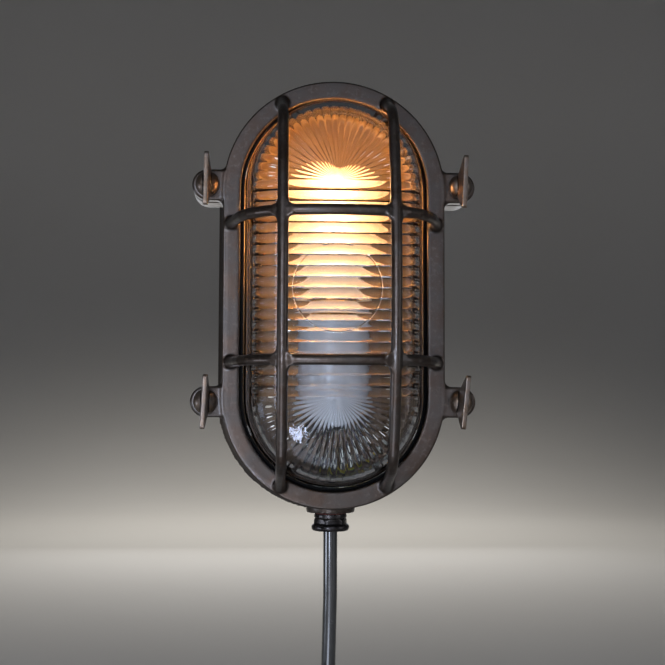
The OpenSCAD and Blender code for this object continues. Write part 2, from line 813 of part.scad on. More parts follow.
// Sprung tongue under the lamp's cap
module lampholder_contact() {
    rise = cap_low - well_floor - loose;
    color([0.75, 0.62, 0.32])
        translate([0, -lamp_d, well_floor])
            rotate([90, 0, 0])
                linear_extrude(6, center = true)
                    polygon([[-9, 0], [-5, 0], [-0.6, rise - 0.8], [5, rise - 0.8], [5, rise],
                        [-1, rise], [-5.6, 0.8], [-9, 0.8]]);
}

// Sealed lamp: globe, tapering neck, cap and centre pip
module bulb() {
    globe_r = globe_d / 2;
    neck_r = cap_d / 2 + 0.2;
    cap_top = cap_low + cap_len;
    neck_angle = 32;
    join_z = globe_z - globe_r * sin(neck_angle);
    join_r = globe_r * cos(neck_angle);
    color([1, 0.9, 0.7])
        translate([0, -lamp_d, 0]) {
            translate([0, 0, globe_z])
                sphere(globe_r);
            rotate_extrude()
                polygon(concat(
                    [[0, cap_low], [4.6, cap_low], [5.2, cap_low + 1], [10.5, cap_low + 3]],
                    [[cap_d / 2 - 0.8, cap_low + 4], [cap_d / 2, cap_low + 5], [cap_d / 2, cap_top]],
                    [[neck_r, cap_top + 0.4]],
                    [for (i = [1 : 7])
                        let (t = i / 8)
                        [neck_r + (join_r - neck_r) * (t * t * 0.5 + t * 0.5),
                        cap_top + 0.4 + (join_z - cap_top - 0.4) * t]],
                    [[join_r - 0.05, join_z], [0, globe_z]]));
        }
}

// Folded strip: upright leg on the bosses, bend, and the shelf under the holder
module holder_bracket() {
    bend = 2;
    outer = bend + bracket_t;
    shelf = -holder_low - bracket_t;
    color([0.62, 0.6, 0.5])
        difference() {
            translate([bracket_w / 2, 0, 0])
                rotate([0, -90, 0])
                    linear_extrude(bracket_w)
                        polygon(concat(
                            arc([shelf + outer, -bracket_d - outer], outer, 90, 180, arc_steps),
                            [[shelf, -bracket_reach], [shelf + bracket_t, -bracket_reach]],
                            arc([shelf + outer, -bracket_d - outer], bend, 180, 90, arc_steps),
                            [[shelf + bracket_leg, -bracket_d - bracket_t],
                            [shelf + bracket_leg, -bracket_d]]));
            for (side = [-1, 1]) {
                translate([side * bracket_screw_x, 0, bracket_screw_z])
                    rotate([90, 0, 0])
                        cylinder(h = bracket_d + 2 * bracket_t, r = m4_r + loose);
                translate([side * holder_screw_x, -lamp_d, shelf - sink])
                    cylinder(h = bracket_t + 2 * sink, r = m4_r + loose);
                translate([side * lead_x, -lead_d, shelf - sink])
                    cylinder(h = bracket_t + 2 * sink, r = lead_hole_r + 0.8);
            }
        }
}

// Cheese-head screw pointing down from its head's seat
module cheese_screw(shank_r, shank_len, head_r, head_h) {
    difference() {
        union() {
            cylinder(h = head_h, r = head_r);
            translate([0, 0, -shank_len])
                cylinder(h = shank_len + head_h / 2, r = shank_r);
        }
        translate([-head_r - 1, -0.4, head_h - 1])
            cube([2 * head_r + 2, 0.8, 2]);
    }
}

module bracket_screws() {
    color([0.7, 0.68, 0.62])
        on_wall()
            for (side = [-1, 1])
                translate([side * bracket_screw_x, bracket_screw_z, bracket_d + bracket_t])
                    cheese_screw(m4_r, boss_h + bracket_t, m4_head_r, m4_head_h);
}

module holder_screws() {
    color([0.7, 0.68, 0.62])
        for (side = [-1, 1])
            translate([side * holder_screw_x, -lamp_d, -holder_low - bracket_t])
                rotate([180, 0, 0])
                    cheese_screw(m4_r, bracket_t + 8, m4_head_r - 0.3, m4_head_h);
}

// Moulded block with a barrel for each pole and a tower over each screw
module terminal_block() {
    color([0.86, 0.84, 0.78])
        on_wall()
            translate([0, -block_low, back_t])
                difference() {
                    union() {
                        translate([-pole_pitch, -block_len / 2, 0])
                            cube([2 * pole_pitch, block_len, block_t]);
                        for (side = [-1, 1])
                            for (row = [-1, 1])
                                translate([side * pole_x, row * block_len / 4, block_t - sink])
                                    cylinder(h = tower_h + sink, r = tower_r);
                    }
                    for (side = [-1, 1])
                        translate([side * pole_x, block_len / 2 + sink, pole_d - back_t])
                            rotate([90, 0, 0])
                                cylinder(h = block_len + 2 * sink, r = insert_r + fit);
                    for (side = [-1, 1])
                        for (row = [-1, 1])
                            translate([side * pole_x, row * block_len / 4, pole_d - back_t])
                                cylinder(h = block_t + tower_h, r = terminal_head_r + loose);
                    translate([0, 0, -sink])
                        cylinder(h = block_t + 2 * sink, r = terminal_screw_r + loose);
                }
}

// Brass barrels in the block, drilled for the wires and the clamping screws
module terminal_inserts() {
    color([0.75, 0.62, 0.32])
        on_wall()
            for (side = [-1, 1])
                translate([side * pole_x, -block_low, pole_d])
                    difference() {
                        rotate([90, 0, 0])
                            cylinder(h = block_len - 1, r = insert_r, center = true);
                        rotate([90, 0, 0])
                            cylinder(h = block_len + 1, r = insert_bore_r, center = true);
                        for (row = [-1, 1])
                            translate([0, row * block_len / 4, 0])
                                cylinder(h = insert_r + 1, r = terminal_screw_r + fit);
                    }
}

module terminal_screws() {
    color([0.7, 0.68, 0.62])
        on_wall()
            for (side = [-1, 1])
                for (row = [-1, 1])
                    translate([side * pole_x, row * block_len / 4 - block_low,
                        pole_d + insert_r + 1])
                        cheese_screw(terminal_screw_r, insert_r + 1 - core_d / 2 - 0.1, terminal_head_r, 1.8);
}

module terminal_fixing() {
    color([0.7, 0.68, 0.62])
        on_wall()
            translate([0, -block_low, back_t + block_t])
                cheese_screw(terminal_screw_r, block_t + 2, terminal_head_r, 1.8);
}

// Ring tag on the earth boss, with the barrel that grips the core
module earth_tag() {
    color([0.7, 0.66, 0.5])
        on_wall()
            translate([earth_x, -earth_low, back_t + boss_h])
                rotate([0, 0, tag_turn])
                    difference() {
                        union() {
                            cylinder(h = tag_t, r = m4_head_r);
                            translate([-1.6, -barrel_start - 1, 0])
                                cube([3.2, barrel_start + 1, tag_t]);
                            translate([0, -barrel_start, barrel_r])
                                rotate([90, 0, 0])
                                    cylinder(h = barrel_len, r = barrel_r);
                        }
                        translate([0, 0, -sink])
                            cylinder(h = tag_t + 2 * sink, r = m4_r + loose);
                        translate([0, -barrel_start - 1, barrel_r])
                            rotate([90, 0, 0])
                                cylinder(h = barrel_len, r = core_d / 2 + soft_gap);
                    }
}

module earth_screw() {
    color([0.7, 0.68, 0.62])
        on_wall()
            translate([earth_x, -earth_low, back_t + boss_h + tag_t])
                cheese_screw(m4_r, boss_h + 1.5, m4_head_r, m4_head_h);
}

// Upper threaded spigot, round collar and the lower neck that the nut screws over
module gland_body() {
    color([0.45, 0.43, 0.42])
        translate([0, -entry_d, 0])
            difference() {
                union() {
                    translate([0, 0, collar_top - sink])
                        cylinder(h = gland_top - collar_top + sink, d = gland_thread_d);
                    translate([0, 0, collar_foot])
                        cylinder(h = collar_h, d = nut_flats - 0.6);
                    translate([0, 0, neck_foot])
                        cylinder(h = collar_foot - neck_foot + sink, r = gland_neck_r);
                }
                translate([0, 0, neck_foot - sink])
                    cylinder(h = gland_top - neck_foot + 2 * sink, r = flex_bore_r);
                translate([0, 0, neck_foot - sink])
                    cylinder(h = seal_top - neck_foot + sink, r = seal_r);
            }
}

module gland_seal() {
    color([0.1, 0.1, 0.1])
        translate([0, -entry_d, seal_foot])
            difference() {
                cylinder(h = seal_top - seal_foot, r = seal_r - soft_gap);
                translate([0, 0, -sink])
                    cylinder(h = seal_top - seal_foot + 2 * sink, r = flex_bore_r);
            }
}

module gland_washer() {
    color([0.3, 0.12, 0.1])
        translate([0, -entry_d, collar_top])
            difference() {
                cylinder(h = gland_washer_t, d = nut_flats - 1);
                translate([0, 0, -sink])
                    cylinder(h = gland_washer_t + 2 * sink, d = gland_thread_d + 2 * soft_gap);
            }
}

// Six-sided cap nut with a rounded lower end
module gland_nut() {
    corner_r = nut_flats / 2 / cos(30);
    soft = 2.6;
    color([0.45, 0.43, 0.42])
        translate([0, -entry_d, nut_foot])
            difference() {
                intersection() {
                    rotate([0, 0, 12])
                        cylinder(h = nut_h, r = corner_r, $fn = 6);
                    rotate_extrude()
                        polygon(concat(
                            [[0, 0]],
                            arc([corner_r - 0.4 - soft, soft], soft, -90, 0, 5),
                            [[corner_r - 0.4, nut_h - 1], [corner_r - 1.2, nut_h], [0, nut_h]]));
                }
                translate([0, 0, -sink])
                    cylinder(h = nut_h + 2 * sink, r = flex_bore_r + 0.3);
                translate([0, 0, 1.9])
                    cylinder(h = nut_h, r = gland_neck_r + fit);
            }
}

module flex_lead() {
    color([0.5, 0.5, 0.5])
        cable(flex_route, flex_d, 1, 12);
}

module flex_coil() {
    r = flex_d / 2;
    round = 2;
    color([0.5, 0.5, 0.5])
        translate([coil_x, -coil_back, coil_z])
            rotate([90, 0, 0])
                rotate_extrude()
                    polygon([
                        [coil_r - r, round], [coil_r - r + round, 0],
                        [coil_r + r - round, 0], [coil_r + r, round],
                        [coil_r + r, coil_front - coil_back - round],
                        [coil_r + r - round, coil_front - coil_back],
                        [coil_r - r + round, coil_front - coil_back],
                        [coil_r - r, coil_front - coil_back - round]]);
}

// Band round all the turns, at the top of the coil
module coil_tie() {
    r = flex_d / 2 + loose;
    deep = coil_front - coil_back + 2 * loose;
    color([0.1, 0.1, 0.1])
        translate([coil_x - tie_w / 2, loose - coil_back, coil_z + coil_r])
            rotate([0, 90, 0])
                linear_extrude(tie_w)
                    difference() {
                        translate([-r - tie_t, -deep - tie_t])
                            square([2 * (r + tie_t), deep + 2 * tie_t]);
                        translate([-r - 0.4, -deep])
                            square([2 * r + 0.4, deep]);
                    }
}

module wire(route, tint, across = [1, 0.2, 0.1]) {
    color(tint)
        cable(route, core_d, 3, 8, across);
}

back_box();
body_gasket();
front_frame();
glass();
glass_gasket();
thumbscrew(-1, 1, turn_ul);  // thumbscrew_ul
thumbscrew(1, 1, turn_ur);  // thumbscrew_ur
thumbscrew(-1, -1, turn_ll);  // thumbscrew_ll
thumbscrew(1, -1, turn_lr);  // thumbscrew_lr
captive_washer(-1, 1);  // captive_washer_ul
captive_washer(1, 1);  // captive_washer_ur
captive_washer(-1, -1);  // captive_washer_ll
captive_washer(1, -1);  // captive_washer_lr
lampholder_body();
lampholder_sleeve();
lampholder_contact();
bulb();
holder_bracket();
bracket_screws();
holder_screws();
terminal_block();
terminal_inserts();
terminal_screws();
terminal_fixing();
earth_tag();
earth_screw();
wire(core_live_route, [0.4, 0.22, 0.12]);  // core_live
wire(core_neutral_route, [0.1, 0.25, 0.6]);  // core_neutral
wire(core_earth_route, [0.35, 0.6, 0.15], [0.1, 1, 0]);  // core_earth
wire(lamp_live_route, [0.4, 0.22, 0.12]);  // lamp_lead_live
wire(lamp_neutral_route, [0.1, 0.25, 0.6]);  // lamp_lead_neutral
gland_body();
gland_seal();
gland_washer();
gland_nut();
flex_lead();
flex_coil();
coil_tie();
wire(tail_live_route, [0.4, 0.22, 0.12], [0, 1, 0]);  // tail_live
wire(tail_neutral_route, [0.1, 0.25, 0.6], [0, 1, 0]);  // tail_neutral
wire(tail_earth_route, [0.35, 0.6, 0.15], [0, 1, 0]);  // tail_earth
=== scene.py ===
import bpy
import math
import numpy as np
from mathutils import Matrix, Vector


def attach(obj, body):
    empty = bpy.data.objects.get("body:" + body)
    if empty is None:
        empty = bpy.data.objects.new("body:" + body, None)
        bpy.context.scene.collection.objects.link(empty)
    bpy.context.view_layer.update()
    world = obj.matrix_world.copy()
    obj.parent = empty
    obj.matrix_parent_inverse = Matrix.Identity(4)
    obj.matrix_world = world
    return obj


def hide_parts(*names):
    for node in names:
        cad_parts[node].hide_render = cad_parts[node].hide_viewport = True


# Oval bulkhead light. Lengths are in millimetres and mm turns them to metres.
# A point (x, depth, z) is measured out from the wall face, so its Y is minus the depth.
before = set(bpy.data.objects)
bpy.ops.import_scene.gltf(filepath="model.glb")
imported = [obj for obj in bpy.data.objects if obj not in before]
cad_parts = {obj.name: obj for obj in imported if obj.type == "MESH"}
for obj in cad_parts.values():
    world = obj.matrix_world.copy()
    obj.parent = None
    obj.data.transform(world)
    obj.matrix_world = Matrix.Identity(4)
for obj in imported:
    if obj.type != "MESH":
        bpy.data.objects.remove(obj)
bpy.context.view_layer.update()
scene = bpy.context.scene
mm = 0.001


def place(x, depth, z):
    return Vector((x * mm, -depth * mm, z * mm))


def linear(colour):
    # an sRGB hex colour as the linear values that shaders use
    parts = [int(colour[i:i + 2], 16) / 255 for i in (1, 3, 5)]
    return tuple(p / 12.92 if p <= 0.04045 else ((p + 0.055) / 1.055) ** 2.4 for p in parts) + (1.0,)


def pickOnly(piece):
    bpy.ops.object.select_all(action="DESELECT")
    piece.select_set(True)
    bpy.context.view_layer.objects.active = piece


def addModifier(piece, kind, **settings):
    # adds one modifier and applies it at once
    pickOnly(piece)
    made = piece.modifiers.new(kind.lower(), kind)
    for name, value in settings.items():
        setattr(made, name, value)
    bpy.ops.object.modifier_apply(modifier=made.name)


def settle(piece):
    # puts a piece's place, turn and scale into its mesh
    pickOnly(piece)
    bpy.ops.object.transform_apply(location=True, rotation=True, scale=True)


def smoothShade(piece, angle=40):
    pickOnly(piece)
    bpy.ops.object.shade_smooth_by_angle(angle=math.radians(angle))


# camera: it stands a little left of the light and a little below its middle
camera = {"x": -37.3, "depth": 686.5, "z": -60.2, "turnRight": 3.263, "tiltUp": 3.45, "roll": 0.2,
          "focalPixels": 1174, "imagePixels": 665}
turn, tilt = math.radians(camera["turnRight"]), math.radians(camera["tiltUp"])
forward = Vector((math.sin(turn) * math.cos(tilt), math.cos(turn) * math.cos(tilt), math.sin(tilt)))
level = forward.cross(Vector((0, 0, 1))).normalized()
upward = level.cross(forward)
roll = math.radians(camera["roll"])
toRight = level * math.cos(roll) + upward * math.sin(roll)
toTop = toRight.cross(forward)
bpy.ops.object.camera_add(location=place(camera["x"], camera["depth"], camera["z"]))
eye = bpy.context.object
eye.name = "photographView"
eye.rotation_euler = Matrix((toRight, toTop, -forward)).transposed().to_euler()
eye.data.sensor_width = 36
eye.data.lens = 36 * camera["focalPixels"] / camera["imagePixels"]
eye.data.clip_end = 50
scene.camera = eye
print("camera: placed")


def add(tree, kind, values=None, links=None, **settings):
    # one node, with its settings, the values of its sockets and what they are linked from
    made = tree.nodes.new(kind)
    for name, value in settings.items():
        setattr(made, name, value)
    for socket, value in (values or {}).items():
        made.inputs[socket].default_value = value
    for socket, source in (links or {}).items():
        tree.links.new(source, made.inputs[socket])
    return made


def startFinish(name, **values):
    # a material with its shader and the piece's own coordinates
    made = bpy.data.materials.new(name)
    made.use_nodes = True
    tree = made.node_tree
    shader = tree.nodes["Principled BSDF"]
    for socket, value in values.items():
        shader.inputs[socket.replace("_", " ")].default_value = value
    where = add(tree, "ShaderNodeTexCoord").outputs["Object"]
    return made, tree, shader, where


def blotches(tree, where, size, detail=3, roughness=0.55, distortion=0.0):
    # soft noise whose patches are about size millimetres across
    return add(tree, "ShaderNodeTexNoise",
               {"Scale": 1 / (size * mm), "Detail": detail, "Roughness": roughness, "Distortion": distortion},
               {"Vector": where}).outputs["Fac"]


def between(tree, source, low, high, start=0.0, end=1.0):
    # source from low to high, as a smooth value from start to end
    return add(tree, "ShaderNodeMapRange",
               {"From Min": low, "From Max": high, "To Min": start, "To Max": end}, {"Value": source},
               interpolation_type="SMOOTHSTEP").outputs["Result"]


def blend(tree, share, first, second, mode="MIX"):
    # two colours mixed by share; each is a hex colour or a link
    made = add(tree, "ShaderNodeMix", links={0: share}, data_type="RGBA", blend_type=mode)
    for index, colour in ((6, first), (7, second)):
        if isinstance(colour, str):
            made.inputs[index].default_value = linear(colour)
        else:
            tree.links.new(colour, made.inputs[index])
    return made.outputs[2]


def sums(tree, operation, first, second):
    made = add(tree, "ShaderNodeMath", operation=operation, use_clamp=False)
    for index, value in ((0, first), (1, second)):
        if isinstance(value, (int, float)):
            made.inputs[index].default_value = value
        else:
            tree.links.new(value, made.inputs[index])
    return made.outputs[0]


def relief(tree, shader, height, depth, strength=1.0, under=None):
    # bump of a real depth in millimetres, over another bump where there is one
    links = {"Height": height}
    if under:
        links["Normal"] = under
    made = add(tree, "ShaderNodeBump", {"Strength": strength, "Distance": depth * mm}, links)
    tree.links.new(made.outputs["Normal"], shader.inputs["Normal"])
    return made.outputs["Normal"]


def mark(tree, name):
    return add(tree, "ShaderNodeAttribute", attribute_name=name).outputs["Fac"]


# sizes of the glass, whose straight sides are as long as those of the oval box and frame
shell = {"rimFront": 41.5, "baseRadius": 49.3, "rimRadius": 57.4, "rimThick": 3.5, "wall": 3.2, "rise": 38.5,
         "lean": 8, "shoulder": 17, "crown": 260, "rib": 1.5, "fanRib": 0.6, "halfLength": 56.8,
         "sideRibs": 20, "endRibs": 26, "stepsPerSideRib": 10, "stepsPerEndRib": 8, "fanFade": 20,
         "ringRadius": 23.3, "ringHeight": 0.3, "ringWidth": 0.5, "ringBack": 77.4, "ringFront": 78.4}

finishes = {}


# Weathered gunmetal, sand cast: a dark brown-grey skin with a waxed gloss, rubbed to bare metal on edges.
# The raw tone is the unfinished metal inside the box, which glows amber round a lit lamp; its share is painted
# stronger near the top as painted light and weaker low down as painted shade.
# Moulding sand leaves a grain of about 0.3 mm; it is drawn at 0.5 to 0.7 mm so that it shows.
gunmetal = {"dark": "#1c1918", "skin": "#564e47", "brown": "#54453a", "pale": "#756c63", "bare": "#c2b9ad",
            "raw": "#bd9861", "grain": 0.7, "patch": 14, "wave": 6, "gloss": 0.38, "wax": 0.14}


def castGunmetal(name, tone, bare):
    made, tree, shader, where = startFinish(name, Coat_Weight=0.55, Coat_Roughness=tone["wax"])
    patch = blotches(tree, where, tone["patch"], 5, 0.6, 0.3)
    fine = blotches(tree, where, 2.4, 4, 0.65)
    grain = blotches(tree, where, tone["grain"], 2, 0.5)
    colour = blend(tree, between(tree, patch, 0.36, 0.66), tone["brown"], tone["skin"])
    colour = blend(tree, between(tree, fine, 0.5, 0.78, 0, 0.55), colour, tone["pale"])
    # darker tone in the hollows of the casting
    colour = blend(tree, mark(tree, "hollow"), colour, tone["dark"])
    rubbed = sums(tree, "MULTIPLY", mark(tree, "worn"), between(tree, fine, 0.25, 0.6, 0.35, 1.0))
    rubbed = sums(tree, "MULTIPLY", rubbed, bare)
    colour = blend(tree, rubbed, colour, tone["bare"])
    # raw metal in the box's cavity, by a mark that also carries painted light high up and painted shade low down
    colour = blend(tree, mark(tree, "inside"), colour, tone["raw"])
    tree.links.new(colour, shader.inputs["Base Color"])
    gloss = tone["gloss"]
    rough = sums(tree, "ADD", between(tree, patch, 0.3, 0.7, gloss - 0.05, gloss + 0.09),
                 between(tree, fine, 0.3, 0.7, -0.04, 0.05))
    rough = sums(tree, "SUBTRACT", rough, sums(tree, "MULTIPLY", rubbed, 0.1))
    rough = sums(tree, "ADD", rough, sums(tree, "MULTIPLY", mark(tree, "inside"), 0.2))
    tree.links.new(between(tree, mark(tree, "inside"), 0, 1, 0.94, 0.3), shader.inputs["Metallic"])
    tree.links.new(rough, shader.inputs["Roughness"])
    wave = relief(tree, shader, blotches(tree, where, tone["wave"], 2), 0.35, 0.5)
    relief(tree, shader, grain, 0.07, 0.7, wave)
    return made


finishes["castFrame"] = castGunmetal("weatheredCastGunmetal", gunmetal, 0.9)
finishes["castBox"] = castGunmetal("weatheredCastGunmetalBox", {**gunmetal, "skin": "#585048"}, 0.7)
finishes["castScrew"] = castGunmetal("rubbedCastGunmetal", {**gunmetal, "skin": "#7d7065", "brown": "#806a55",
                                                            "pale": "#a3978a", "grain": 0.5, "patch": 7,
                                                            "gloss": 0.34}, 1.0)


# Dark plated brass of the gland, turned: faint rings and a slightly worn sheen.
# The tool leaves rings about 0.2 mm apart; they are drawn about 1 mm apart so that they show.
def platedBrass():
    made, tree, shader, where = startFinish("darkPlatedBrass", Metallic=0.9)
    patch = blotches(tree, where, 5, 4, 0.6)
    colour = blend(tree, between(tree, patch, 0.35, 0.7), "#3f3c3b", "#575351")
    rubbed = sums(tree, "MULTIPLY", mark(tree, "worn"), between(tree, patch, 0.3, 0.6, 0.4, 1.0))
    colour = blend(tree, rubbed, colour, "#b5aca0")
    tree.links.new(colour, shader.inputs["Base Color"])
    tree.links.new(between(tree, patch, 0.3, 0.7, 0.18, 0.3), shader.inputs["Roughness"])
    rings = add(tree, "ShaderNodeTexWave", {"Scale": 1 / (0.55 * mm) / 6.28, "Distortion": 0.6, "Detail": 2.0},
                {"Vector": where}, wave_type="BANDS", bands_direction="Z").outputs["Fac"]
    relief(tree, shader, rings, 0.03, 0.35)
    return made


finishes["gland"] = platedBrass()


# Pressed clear glass: a wavy moulded skin under a faint, patchy film of grease and dust
def pressedGlass():
    made, tree, shader, where = startFinish("pressedClearGlass", IOR=1.5, Transmission_Weight=1.0,
                                            Specular_Tint=(0.4, 0.4, 0.42, 1))
    wave = blotches(tree, where, 7, 2, 0.5)
    film = blotches(tree, where, 18, 5, 0.6)
    tree.links.new(between(tree, film, 0.4, 0.75, 0.015, 0.07), shader.inputs["Roughness"])
    tree.links.new(blend(tree, between(tree, film, 0.35, 0.8), "#fcfdfe", "#eff2f4"), shader.inputs["Base Color"])
    ripple = relief(tree, shader, blotches(tree, where, 2.4, 3, 0.6), 0.06, 0.6)
    wavy = relief(tree, shader, wave, 0.25, 0.35, ripple)
    flat = add(tree, "ShaderNodeVectorMath", {1: (1, 0, 1)}, {0: where}, operation="MULTIPLY").outputs["Vector"]
    away = add(tree, "ShaderNodeVectorMath", links={0: flat}, operation="LENGTH").outputs["Value"]
    off = sums(tree, "ABSOLUTE", sums(tree, "SUBTRACT", away, shell["ringRadius"] * mm), 0)
    depth = add(tree, "ShaderNodeSeparateXYZ", links={"Vector": where}).outputs["Y"]
    front = between(tree, depth, -shell["ringBack"] * mm, -shell["ringFront"] * mm)  # the fine ring is in front only
    ring = sums(tree, "MULTIPLY", front, between(tree, off, shell["ringWidth"] * mm, 0.0))
    relief(tree, shader, ring, shell["ringHeight"], 1.0, wavy)
    return made


finishes["glass"] = pressedGlass()


# Pearl lamp glass, lit from within: one thin amber veil outside and fainter ones inside it, so that the light
# fades softly from the hot middle to the edge
def litPearl(name, share, weak, strong, top, neckColour, fullColour):
    made, tree, shader, where = startFinish(name, Roughness=0.25, IOR=1.5, Alpha=share)
    height = add(tree, "ShaderNodeSeparateXYZ", links={"Vector": where}).outputs["Z"]
    mottle = blotches(tree, where, 9, 2)
    warm = sums(tree, "ADD", between(tree, height, -0.012, 0.03), sums(tree, "MULTIPLY", mottle, 0.12))
    tree.links.new(blend(tree, warm, neckColour, fullColour), shader.inputs["Emission Color"])
    strength = sums(tree, "ADD", between(tree, height, -0.014, 0.02, weak, strong),
                    between(tree, height, 0.048, 0.068, 0, top))
    tree.links.new(strength, shader.inputs["Emission Strength"])
    shader.inputs["Base Color"].default_value = linear("#f6ead8")
    return made


# The glowing middle of the lamp, warm white and a little hotter half way up
def hotMiddle():
    made, tree, shader, where = startFinish("hotFilamentGlow", Roughness=0.5)
    height = add(tree, "ShaderNodeSeparateXYZ", links={"Vector": where}).outputs["Z"]
    shimmer = blotches(tree, where, 6, 2)
    heat = sums(tree, "ADD", between(tree, height, 0.012, 0.036), sums(tree, "MULTIPLY", shimmer, 0.15))
    tree.links.new(blend(tree, heat, "#ffb066", "#ffd5a0"), shader.inputs["Emission Color"])
    tree.links.new(between(tree, height, 0.025, 0.045, 70.0, 140.0), shader.inputs["Emission Strength"])
    shader.inputs["Base Color"].default_value = linear("#fff2dc")
    return made


finishes["lamp"] = litPearl("litPearlGlass", 0.34, 0.5, 0.9, 4.5, "#ffe6d0", "#ffb474")
for veil, strength, colour in (("veil13", 5.0, "#ffdcb0"), ("veil17", 2.0, "#ffcf94"), ("veil21", 1.0, "#ffc07c"),
                               ("veil25", 0.5, "#ffb870")):
    finishes[veil] = litPearl("litPearlVeil" + veil[4:], 0.3, strength * 0.4, strength, 0, "#ffdcb4", colour)
finishes["glow"] = hotMiddle()


# Glazed porcelain: cool white under a glassy coat, with a few grey specks and drips in the glaze
def glazedPorcelain():
    made, tree, shader, where = startFinish("glazedPorcelain", Roughness=0.18, IOR=1.5, Coat_Weight=0.6)
    cloud = blotches(tree, where, 16, 3)
    specks = add(tree, "ShaderNodeTexVoronoi", {"Scale": 1 / (4 * mm)}, {"Vector": where}).outputs["Distance"]
    colour = blend(tree, between(tree, cloud, 0.35, 0.7), "#eef2f6", "#f8fafc")
    colour = blend(tree, between(tree, specks, 0.07, 0.02), colour, "#8d8880")
    tree.links.new(colour, shader.inputs["Base Color"])
    relief(tree, shader, cloud, 0.2, 0.5)
    return made


finishes["porcelain"] = glazedPorcelain()


# Plain small metals: zinc plated steel, bare brass and copper, with the fine lines of rolling and drawing.
# Such lines are under 0.1 mm wide; they are drawn at about 0.2 mm so that they show.
def brushedMetal(name, dark, light, rough, lines):
    made, tree, shader, where = startFinish(name, Metallic=1.0)
    patch = blotches(tree, where, 4, 4)
    stretched = add(tree, "ShaderNodeMapping", {"Scale": (1, 1, 14)}, {"Vector": where}).outputs["Vector"]
    scratch = blotches(tree, stretched, lines, 3, 0.7)
    colour = blend(tree, between(tree, patch, 0.35, 0.7), dark, light)
    tree.links.new(colour, shader.inputs["Base Color"])
    tree.links.new(between(tree, scratch, 0.3, 0.7, rough - 0.06, rough + 0.08), shader.inputs["Roughness"])
    relief(tree, shader, scratch, 0.03, 0.4)
    return made


finishes["steel"] = brushedMetal("zincPlatedSteel", "#8f8f86", "#c2c1b4", 0.34, 3)
finishes["dullSteel"] = brushedMetal("dulledZincSteel", "#3b3a38", "#55534f", 0.45, 3)
finishes["brass"] = brushedMetal("bareBrass", "#8f6f2f", "#cfa857", 0.28, 3)


# Rubber, fibre and moulded plastic: slightly uneven colour and a fine grain from the mould, matt on rubber and
# glossy on the sheath. The grain is about 0.2 mm; it is drawn at 0.45 mm and more so that it shows.
def moulded(name, low, high, rough, grain, depth=0.05, **values):
    made, tree, shader, where = startFinish(name, **values)
    patch = blotches(tree, where, 6, 4)
    colour = blend(tree, between(tree, patch, 0.35, 0.7), low, high)
    tree.links.new(colour, shader.inputs["Base Color"])
    tree.links.new(between(tree, patch, 0.3, 0.7, rough - 0.05, rough + 0.06), shader.inputs["Roughness"])
    relief(tree, shader, blotches(tree, where, grain, 2), depth, 0.6)
    return made


finishes["rubber"] = moulded("blackRubber", "#0a0a0a", "#131211", 0.8, 0.6, Specular_IOR_Level=0.12)
finishes["fibre"] = moulded("redFibre", "#4d1a14", "#6d2a20", 0.7, 0.5)
finishes["phenolic"] = moulded("blackPhenolic", "#1a1512", "#272019", 0.3, 0.8)
finishes["brown"] = moulded("brownPvc", "#4a2413", "#5d3019", 0.38, 0.9)
finishes["blue"] = moulded("bluePvc", "#143d8c", "#1f4fa6", 0.38, 0.9)
finishes["strap"] = moulded("blackStrap", "#121212", "#1e1e1e", 0.8, 0.45, 0.2, Sheen_Weight=0.4)
finishes["sheath"] = moulded("greyPvcSheath", "#2b2c2a", "#353633", 0.22, 2.5, Coat_Weight=1.0, Coat_Roughness=0.1,
                             Coat_IOR=2.1)


# Green and yellow earth core: the two colours run along it in stripes, by the core's own map
def earthCore():
    made, tree, shader, where = startFinish("greenYellowPvc", Roughness=0.38)
    side = add(tree, "ShaderNodeTexCoord").outputs["UV"]
    wayRound = add(tree, "ShaderNodeSeparateXYZ", links={"Vector": side}).outputs["Y"]
    stripe = sums(tree, "GREATER_THAN", wayRound, 0.6)
    patch = blotches(tree, where, 5, 3)
    green = blend(tree, patch, "#2c7a2c", "#3c9038")
    tree.links.new(blend(tree, stripe, green, "#d8c63a"), shader.inputs["Base Color"])
    relief(tree, shader, blotches(tree, where, 0.9, 2), 0.05, 0.6)
    return made


finishes["earth"] = earthCore()
finishes["copper"] = brushedMetal("strandedCopper", "#a4532c", "#d88a58", 0.3, 2)
print("finishes:", len(finishes), "made")


def dress(piece, *names):
    piece.data.materials.clear()
    for name in names:
        piece.data.materials.append(finishes[name])


# flex: from the gland straight down to a tied coil just below the photograph
flex = {"diameter": 8, "sides": 28, "turns": 3.3, "coilX": -41, "coilZ": -260, "coilRadius": 40, "pitch": 8,
        "depth": 17, "pointsPerTurn": 72, "exitZ": -132.1}
flexRoute = [(0, 17, -107), (0, 17, -112), (0, 17, -118), (0, 17, -124), (0, 17, -130), (0, 17, -136),
             (0, 17, -143), (0, 17, -151), (0, 17, -160), (0, 17, -169), (-0.2, 17, -178), (-0.4, 17, -187),
             (-0.6, 17, -196), (-0.8, 17, -205), (-0.9, 17, -214), (-1, 17, -223), (-1, 17, -232),
             (-1, 17, -241), (-1, 17, -250), (-1, 17, -260)]


def smoothLine(points, steps):
    # a smooth line through the points of a route
    p = [Vector(q) for q in points]
    line = []
    for i in range(len(p) - 1):
        a, b, c, d = p[max(i - 1, 0)], p[i], p[i + 1], p[min(i + 2, len(p) - 1)]
        for s in range(steps):
            t = s / steps
            line.append(0.5 * ((2 * b) + (c - a) * t + (2 * a - 5 * b + 4 * c - d) * t * t
                               + (3 * b - a - 3 * c + d) * t * t * t))
    return line + [p[-1]]


